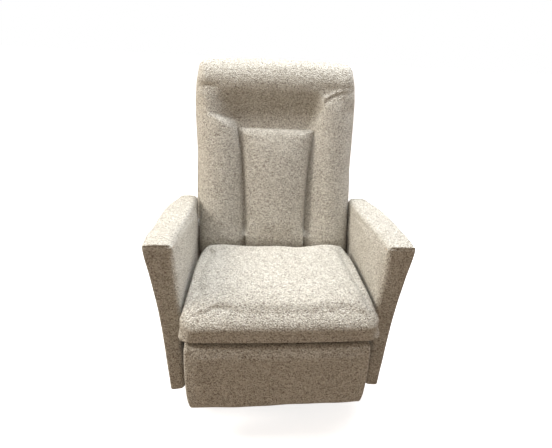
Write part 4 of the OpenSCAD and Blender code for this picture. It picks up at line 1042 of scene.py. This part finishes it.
@dataclass
class SeatCushion(PaddedPiece):
    """Seat cushion: flat over the springs, with a waterfall nose that swells past the arms.

    Attributes:
        nose_y: foremost place.
        rear_y: rearmost place.
        lip_y: place where the nose's underside steps up to the rest of the underside.
        lip_z: height of the nose's underside.
        deck_z: height of the underside over the springs.
        crown: how much the top rises to its middle.
        height: height of the block before it is laid out.
        arm_inner_x: half width between the arms.
        half_rows: half width from front to rear.
        top_rows: height of the top from front to rear.
        folds: folds and ridges of the top, by their places across and from front to rear.
    """

    nose_y: float = -0.372
    rear_y: float = 0.106
    lip_y: float = -0.326
    lip_z: float = 0.339
    deck_z: float = 0.3055
    crown: float = 0.006
    height: float = 0.130
    arm_inner_x: float = 0.2935
    half_rows: Rows = (
        (-0.389, 0.290), (-0.345, 0.297), (-0.300, 0.291), (-0.20, 0.287), (0.0, 0.282), (0.114, 0.270),
    )
    top_rows: Rows = (
        (-0.389, 0.411), (-0.33, 0.422), (-0.26, 0.431), (-0.20, 0.433), (-0.05, 0.432), (0.05, 0.430),
        (0.114, 0.428),
    )
    folds: tuple[Fold, ...] = (
        Fold(0.0045, 0.004, ((-0.222, -0.318), (-0.190, -0.300), (-0.160, -0.272))),
        Fold(-0.003, 0.008, ((-0.222, -0.328), (-0.186, -0.309), (-0.154, -0.281))),
    )

    def form(self, unit: Array) -> Array:
        """Rounded block whose front hangs over the footrest."""
        unit = tighten(unit, 1.15)
        nose = 1 - smooth(unit[:, 1], -1.0, -0.55)
        under = 1 - smooth(unit[:, 2], -0.9, -0.1)
        low = stack(-1.0, self.nose_y, 0.0)
        high = stack(1.0, self.rear_y, self.height)
        near = stack(0.10 + 0.03 * nose, 0.066 - 0.040 * under, 0.014 + 0.006 * nose)
        far = stack(0.10 + 0.03 * nose, 0.030, 0.030 + 0.024 * nose)
        x, y, z = rounded(unit, low, high, near, far).T
        low_z = self.deck_z + (self.lip_z - self.deck_z) * (1 - smooth(y, self.lip_y, self.lip_y + 0.008))
        up = z / self.height
        z = low_z + up * (curve(y, *self.top_rows) - low_z)
        fade = 1 - x * x
        z = z + self.crown * fade * smooth(up, 0.5, 1.0)
        y = y - 0.006 * fade * (1 - smooth(y, -0.38, -0.30)) - (1 - up) * 0.045 * smooth(y, 0.0, 0.10)
        return stack(x * curve(y, *self.half_rows) + 0.001, y, z)

    def held(self, points: Array) -> Array:
        """The flat underside lies on the springs."""
        _, y, z = points.T
        underside = np.where(y < self.lip_y, self.lip_z, self.deck_z)
        return 1 - smooth(z, underside + 0.002, self.deck_z + 0.05)

    def room(self, points: Array) -> Array:
        """Less room between the arms and against the back."""
        x, y, z = points.T
        between = smooth(np.abs(x), 0.262, 0.285) * smooth(y, -0.300, -0.270)
        rear = smooth(y, 0.04, 0.09)
        below = 1 - smooth(z, 0.350, 0.375)
        return self.filling.most * (1 - 0.6 * np.maximum(between, np.maximum(rear, below)))

    def sew(self, points: Array) -> Array:
        """Presses waves and folds into the top, and keeps the sides and the nose in their places."""
        x, y, z = points.T
        over = smooth(z, 0.400, 0.425)
        wave = 0.006 * hump(x, -0.205, 0.045) + 0.009 * hump(x, 0.205, 0.055) - 0.006 * hump(x, 0.08, 0.05)
        wave -= 0.004 * hump(x, -0.06, 0.07)
        z = z + wave * smooth(y, 0.0, 0.09) * over
        for fold in self.folds:
            z = z - fold.relief(x, y) * over
        z = z - 0.003 * hump(np.abs(x), 0.262, 0.010) * smooth(y, -0.34, -0.25) * over
        x = within(x, self.arm_inner_x + 0.05 * (1 - smooth(y, -0.300, -0.284)))
        z = np.where(y < -0.318, np.maximum(z, 0.3370), np.maximum(z, self.deck_z - 0.001))
        return stack(x, y, z)


@dataclass
class ArmCover(PaddedPiece):
    """Padded arm, flared outwards to its top and narrow at its foot.

    Attributes:
        side: side of the chair that it is on.
        front_y: place of its front.
        rear_y: place of its rear.
        foot_z: height of its foot.
        inner_x: distance of its inner face from the chair's middle.
        least_x: the same where the stuffing swells it towards the seat.
        lip_x: distance of the release cup's lip, at the lip's low front corner.
        lip_rise: how much that grows with height.
        lip_taper: how much it shrinks to the rear.
        lip_w: how far the lip reaches over the cover.
        tuck: how far the cover's edge stays behind the lip's inner edge.
        cup_floor_x: distance of the cup's floor.
        top_rows: height of the top from front to rear.
        outer_rows: outer half width at the front, by height.
        bulge_rows: what the outer half width gains at the top, from front to rear.
    """

    side: Side = Side.LEFT
    front_y: float = -0.284
    rear_y: float = 0.238
    foot_z: float = 0.091
    inner_x: float = 0.2965
    least_x: float = 0.2952
    lip_x: float = 0.3652
    lip_rise: float = 0.073
    lip_taper: float = 0.054
    lip_w: float = 0.006
    tuck: float = 0.0005
    cup_floor_x: float = 0.331
    top_rows: Rows = ((-0.286, 0.607), (0.0, 0.594), (0.242, 0.582))
    outer_rows: Rows = (
        (0.090, 0.341), (0.20, 0.347), (0.30, 0.353), (0.40, 0.362), (0.50, 0.376), (0.61, 0.3915),
    )
    bulge_rows: Rows = (
        (-0.286, 0.0), (-0.20, 0.005), (-0.10, 0.005), (0.0, 0.003), (0.10, -0.003), (0.242, -0.022),
    )

    def top(self, y: Array) -> Array:
        """Height of the arm's top line."""
        return curve(y, *self.top_rows)

    def outer(self, y: Array, z: Array) -> Array:
        """Outer half width of the chair at a place of the arm's side."""
        return curve(z, *self.outer_rows) + curve(y, *self.bulge_rows) * smooth(z, -0.30, 0.60)

    def inner(self, y: Array, z: Array) -> Array:
        """Inner half width, which opens towards the top at the front."""
        return self.inner_x + 0.012 * smooth(z, 0.38, 0.62) * (1 - smooth(y, -0.30, 0.08))

    def form(self, unit: Array) -> Array:
        """Rounded slab of changing thickness."""
        unit = stack(unit[:, 0], tighten(unit[:, 1], 1.3), tighten(unit[:, 2], 1.3))
        y = self.front_y + (unit[:, 1] + 1) / 2 * (self.rear_y - self.front_y)
        z = self.foot_z + (unit[:, 2] + 1) / 2 * (self.top(y) - self.foot_z)
        thick = self.outer(y, z) - self.inner(y, z)
        inner = 1 - smooth(unit[:, 0], -1.0, 0.6)
        crest = smooth(unit[:, 2], 0.86, 0.99)
        rear = smooth(unit[:, 1], 0.5, 0.95)
        low = stack(0.0, self.front_y, self.foot_z)
        high = stack(1.0, self.rear_y, self.top(y))
        near = stack(0.015 / thick, 0.005 + 0.012 * inner * (1 - crest), 0.010)
        far = stack((0.007 + 0.011 * rear) / thick, 0.018 + 0.008 * crest,
                    0.006 + 0.009 * inner + 0.009 * rear)
        x, y, z = rounded(unit, low, high, near, far).T
        z = z + 0.003 * (1 - (2 * x - 1) ** 2) * smooth(z, 0.55, 0.60)
        x = self.inner(y, z) + x * (self.outer(y, z) - self.inner(y, z))
        return stack(self.side.value * x, y, z)

    def held(self, points: Array) -> Array:
        """Held at the foot, along the front seams and beside the seat."""
        x, y, z = points.T
        size = np.abs(x)
        foot = 1 - smooth(z, 0.10, 0.13)
        top_seam = hump(y, self.front_y, 0.010) * hump(z, self.top(y), 0.012)
        outer_seam = hump(y, self.front_y, 0.010) * hump(size, self.outer(y, z), 0.010)
        gap = size - self.inner(y, z)
        seat = 0.7 * (1 - smooth(gap, 0.002, 0.012)) * (1 - smooth(z, 0.40, 0.46))
        return np.maximum.reduce([foot, 0.9 * top_seam, 0.8 * outer_seam, seat])

    def sew(self, points: Array) -> Array:
        """Sews the front panel in and keeps the inner face off the seat."""
        x, y, z = points.T
        size = np.abs(x)
        front = 1 - smooth(y, self.front_y + 0.004, self.front_y + 0.012)
        seam = np.exp(-(((self.top(np.full(len(y), self.front_y)) - 0.004 - z) / 0.0025) ** 2))
        y = y + 0.0030 * seam * front
        size = np.maximum(size, self.least_x)
        if self.side is Side.RIGHT:
            size, y, z = self.pocket(size, y, z)
        return stack(self.side.value * size, y, z)

    def pocket(self, size: Array, y: Array, z: Array) -> tuple[Array, ...]:
        """Presses the cover in round the release cup and tucks it behind the cup's lip.

        Args:
            size: distances from the chair's middle.
            y: places from front to rear.
            z: heights.

        Returns:
            The three, moved where the cup sits.
        """
        low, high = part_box("release_cup")
        outer_face = size > self.cup_floor_x
        from_y = y - (low.y + high.y) / 2
        from_z = z - (low.z + high.z) / 2
        gap_y = np.abs(from_y) - (high.y - low.y) / 2
        gap_z = np.abs(from_z) - (high.z - low.z) / 2
        away = np.maximum(gap_y, gap_z)
        under_lip = self.lip_x + self.lip_rise * (z - low.z) - self.lip_taper * (y - low.y)
        share = (1 - smooth(away, 0.0, 0.025)) * outer_face
        size = size + (np.minimum(size, under_lip) - size) * share
        over_cup = outer_face & (away < -self.lip_w)
        size = np.where(over_cup, self.cup_floor_x, size)
        edge = self.lip_w - self.tuck
        close_y = over_cup & (gap_y > -2 * self.lip_w)
        close_z = over_cup & (gap_z > -2 * self.lip_w)
        y = np.where(close_y, y - np.sign(from_y) * (gap_y + edge), y)
        z = np.where(close_z, z - np.sign(from_z) * (gap_z + edge), z)
        return size, y, z


@dataclass
class FootrestPad(PaddedPiece):
    """Padded front of the footrest.

    Attributes:
        front_y: place of its front.
        rear_y: place of its rear.
        foot_z: height of its lower edge.
        top_z: height of its top.
        half_rows: half width by height.
        fold: folded corner at the top, by its place across and its height.
    """

    front_y: float = -0.380
    rear_y: float = -0.331
    foot_z: float = 0.102
    top_z: float = 0.332
    half_rows: Rows = ((0.10, 0.265), (0.13, 0.271), (0.18, 0.275), (0.26, 0.276), (0.334, 0.274))
    fold: Fold = Fold(0.003, 0.004, ((-0.262, 0.334), (-0.254, 0.318), (-0.270, 0.306)))

    def form(self, unit: Array) -> Array:
        """Rounded slab over the board."""
        unit = tighten(unit, 1.15)
        low = stack(-1.0, self.front_y, self.foot_z)
        high = stack(1.0, self.rear_y, self.top_z)
        near = stack(0.036, 0.018, 0.014)
        far = stack(0.036, 0.005, 0.016)
        x, y, z = rounded(unit, low, high, near, far).T
        y = y - 0.003 * (1 - x * x) * (1 - smooth(y, -0.38, -0.345))
        return stack(x * curve(z, *self.half_rows) - 0.005, y, z)

    def held(self, points: Array) -> Array:
        """Held round the board."""
        return smooth(points[:, 1], -0.352, -0.342)

    def sew(self, points: Array) -> Array:
        """Waves along the lower edge and the folded corner at the top."""
        x, y, z = points.T
        low = 1 - smooth(z, 0.10, 0.15)
        z = z + (0.0016 * np.sin(x * 21.0 + 0.6) + 0.0006 * np.sin(x * 57.0)) * low
        z = z + 0.009 * smooth(x, -0.30, 0.30) * (1 - smooth(z, 0.10, 0.30))
        ahead = 1 - smooth(y, -0.378, -0.360)
        return stack(x, y + self.fold.relief(x, z) * ahead, z)


@dataclass
class Upholstery:
    """Every padded piece of the chair.

    Attributes:
        tweed: the cloth that covers them.
    """

    tweed: Tweed = Tweed()

    def build(self) -> list[bpy.types.Object]:
        """Builds the padded pieces in order."""
        cloth = self.tweed.material()
        firm = Filling(pressure=2.0, most=0.004)
        arm_cells = (26, 110, 110)
        pieces = [
            BackCushion("back_cushion_pad", "backrest", ("back_border_cushion", "lumbar_panel"),
                        Filling(most=0.012), cells=(148, 16, 180)),
            OuterBack("outer_back_cover", "backrest", ("outer_back",),
                      Filling(pressure=2.0, most=0.006), cells=(90, 10, 110)),
            SeatCushion("seat_pad", "seat", ("seat_cushion",), Filling(most=0.014), cells=(140, 124, 34)),
            ArmCover("arm_left", "chair", ("arm_cover_left",), firm, cells=arm_cells, side=Side.LEFT),
            ArmCover("arm_right", "chair", ("arm_cover_right",), firm, cells=arm_cells, side=Side.RIGHT),
            FootrestPad("footrest_cover", "footrest", ("footrest_pad",),
                        Filling(most=0.007), cells=(130, 14, 60)),
        ]
        return [piece.build(cloth) for piece in pieces]


ZINC = Coating("zinc_plate", (0.56, 0.57, 0.58), 0.34, 1.0, 500.0, 0.00005)


@dataclass
class Hardware:
    """Finishes of the solids that stay as they are.

    Attributes:
        finishes: the finish of each slot.
    """

    finishes: dict[str, Coating | Timber] = field(default_factory=lambda: {
        "steel": Coating("black_powder_coat", (0.030, 0.030, 0.033), 0.42, 0.0),
        "zinc": ZINC,
        "wood": Timber(),
        "nylon": Coating("moulded_nylon", (0.74, 0.72, 0.66), 0.5, 0.0, 700.0, 0.00008),
        "plastic": Coating("grained_plastic", (0.028, 0.026, 0.024), 0.48, 0.0, 1400.0, 0.0002),
        "webbing": Coating("elastic_webbing", (0.05, 0.05, 0.052), 0.9, 0.0, 600.0, 0.0006),
    })

    def dress(self, frame_nodes: dict, subparts: Sequence[dict]) -> None:
        """Gives every solid that shows the finish of its slot.

        Args:
            frame_nodes: objects by node name.
            subparts: the record's list of sub-parts.
        """
        made = {name: finish.material() for name, finish in self.finishes.items()}
        for part in subparts:
            material = made.get(part["material_slot"])
            node = frame_nodes.get(part["node"])
            if material is None or node is None:
                continue
            for place in node.material_slots:
                place.material = material
            if not node.material_slots:
                node.data.materials.append(material)
        LOG.info("hardware: %d finishes", len(made))


@dataclass(frozen=True)
class RockerCoils:
    """The rocker springs between the turntable and the chair, built as a fixed copy that does not bend when
    the chair rocks.

    Attributes:
        node: the solid that they stand for.
        low_body: body that holds their lower ends; not used.
        high_body: body that holds their upper ends; not used.
        slot: their material slot; not used.
        finish: their finish.
    """

    node: str = "rocker_springs"
    low_body: str = "turntable"
    high_body: str = "chair"
    slot: str = "zinc"
    finish: Coating = replace(ZINC, name="spring_zinc")

    def build(self, frame_nodes: dict) -> bpy.types.Object:
        """Builds the coils in the springs' places.

        Args:
            frame_nodes: objects by node name.

        Returns:
            The coils.
        """
        source = frame_nodes[self.node]
        mesh = bmesh.new()
        mesh.from_mesh(source.data)
        mesh.transform(source.matrix_world)
        coils = piece_from("rocker_coils", mesh)
        coils.data.materials.clear()
        coils.data.materials.append(self.finish.material())
        heights = points_of(coils)[:, 2]
        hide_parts(self.node)
        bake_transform(coils)
        LOG.info("rocker_coils: %d points", len(coils.data.vertices))
        return coils


@dataclass(frozen=True)
class Lamp:
    """A square soft lamp.

    Attributes:
        name: name of the lamp.
        at: its place.
        target: the point that it faces.
        size: length of its side in metres.
        power: watts.
        colour: colour of its light.
    """

    name: str
    at: tuple[float, float, float]
    target: tuple[float, float, float]
    size: float
    power: float
    colour: Colour

    def build(self) -> None:
        """Adds the lamp to the scene."""
        data = bpy.data.lights.new(self.name, "AREA")
        data.size = self.size
        data.energy = self.power
        data.color = self.colour
        made = bpy.data.objects.new(self.name, data)
        made.location = self.at
        made.rotation_euler = (Vector(self.target) - Vector(self.at)).to_track_quat("-Z", "Y").to_euler()
        bpy.context.scene.collection.objects.link(made)


@dataclass
class Studio:
    """Floor, backdrop light, lamps and the camera at the photograph's angle.

    Attributes:
        camera_at: place of the camera.
        yaw: its turn about the vertical, in degrees.
        pitch: its tilt, in degrees, less than 0 when it looks down.
        roll: its turn about the line of sight, in degrees.
        lens: its focal length in millimetres.
        sensor: width of its sensor in millimetres.
        clip_from: nearest distance that it shows, in metres.
        shift: shift of its picture, in widths of the sensor.
        floor_half: half the floor's width.
        floor_white: the floor's colour where it is seen.
        floor_bounce: colour of the light that it throws on the chair.
        floor_glow: its own light under the chair.
        glow_from: distance from the chair at which that light starts to rise.
        glow_to: distance at which it reaches 1.
        fill_colour: colour of the light from all round.
        fill_strength: strength of that light.
        lamps: the lamps.
    """

    camera_at: tuple[float, float, float] = (-0.09008, -1.35074, 1.12829)
    yaw: float = -6.19
    pitch: float = -22.35
    roll: float = -3.26
    lens: float = 27.335
    sensor: float = 36.0
    clip_from: float = 0.05
    shift: tuple[float, float] = (-0.03208, -0.00516)
    floor_half: float = 40.0
    floor_white: Colour = (0.80, 0.80, 0.80)
    floor_bounce: Colour = (0.34, 0.28, 0.225)
    floor_glow: float = 0.80
    glow_from: float = 0.8
    glow_to: float = 2.2
    fill_colour: Colour = (1.0, 0.80, 0.64)
    fill_strength: float = 0.33
    lamps: tuple[Lamp, ...] = (
        Lamp("top_softbox", (0.3, 0.65, 3.0), (0.0, 0.0, 0.4), 2.0, 86.0, (0.88, 0.94, 1.0)),
        Lamp("left_key", (-2.4, 0.15, 2.2), (0.0, 0.0, 0.6), 1.2, 70.0, (1.0, 0.94, 0.85)),
        Lamp("rear_right", (1.8, 0.9, 2.4), (0.0, 0.0, 0.5), 1.2, 27.0, (0.97, 0.98, 1.0)),
    )

    def camera(self) -> None:
        """Sets the camera."""
        data = bpy.data.cameras.new("photo_camera")
        data.sensor_width = self.sensor
        data.lens = self.lens
        data.shift_x, data.shift_y = self.shift
        data.clip_start = self.clip_from
        made = bpy.data.objects.new("photo_camera", data)
        turn = Matrix.Identity(3)
        for degrees, axis in ((self.yaw, "Z"), (self.pitch, "X"), (self.roll, "Y")):
            turn = turn @ Matrix.Rotation(math.radians(degrees), 3, axis)
        right, forward, up = turn.col
        basis = Matrix((right, up, -forward)).transposed().to_4x4()
        made.matrix_world = Matrix.Translation(self.camera_at) @ basis
        bpy.context.scene.collection.objects.link(made)
        bpy.context.scene.camera = made

    @staticmethod
    def seen(tree: ShaderTree) -> Wire:
        """1 for rays that show the backdrop: from the camera, mirrored or through glass."""
        rays = tree.node("ShaderNodeLightPath")
        mirrored = Wire(tree, rays.outputs["Is Glossy Ray"]) + Wire(tree, rays.outputs["Is Transmission Ray"])
        return Wire(tree, rays.outputs["Is Camera Ray"]).plus(mirrored)

    def floor(self) -> None:
        """White floor that keeps the chair's shadow."""
        mesh = bmesh.new()
        bmesh.ops.create_grid(mesh, x_segments=1, y_segments=1, size=self.floor_half)
        piece = piece_from("floor", mesh)
        tree = ShaderTree("white_floor")
        seen = self.seen(tree)
        white = tree.mix(seen, self.floor_bounce, self.floor_white)
        lit = tree.wire("ShaderNodeBsdfDiffuse", 0, {}, {"Color": white})
        away = tree.wire("ShaderNodeVectorMath", "Value", {"operation": "LENGTH"}, {0: tree.place()})
        level = away.step(self.glow_from, self.glow_to) * (1 - self.floor_glow) + self.floor_glow
        glow = tree.wire("ShaderNodeEmission", 0, {}, {"Strength": seen * level})
        piece.data.materials.append(tree.close(tree.wire("ShaderNodeAddShader", 0, {}, {0: lit, 1: glow})))

    def world(self) -> None:
        """White backdrop, and a warm fill for the shaded sides."""
        tree = ShaderTree("studio", bpy.data.worlds.new("studio"))
        bpy.context.scene.world = tree.owner
        warm = {"Color": (*self.fill_colour, 1), "Strength": self.fill_strength}
        fill = tree.wire("ShaderNodeBackground", 0, {}, warm)
        white = tree.wire("ShaderNodeBackground", 0, {}, {"Color": (1, 1, 1, 1), "Strength": 1.0})
        tree.close(tree.wire("ShaderNodeMixShader", 0, {}, {0: self.seen(tree), 1: fill, 2: white}))

    def build(self) -> None:
        """Builds the studio."""
        self.camera()
        self.floor()
        self.world()
        for lamp in self.lamps:
            lamp.build()
        bpy.context.scene.view_settings.view_transform = "Standard"


def main() -> None:
    """Builds the chair, the studio and the camera."""
    logging.basicConfig(level=logging.INFO, format="%(message)s")
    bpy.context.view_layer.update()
    Studio().build()
    Hardware().dress(frame["nodes"], frame["record"]["subparts"])
    RockerCoils().build(frame["nodes"])
    Upholstery().build()


if __name__ == "__main__":
    main()
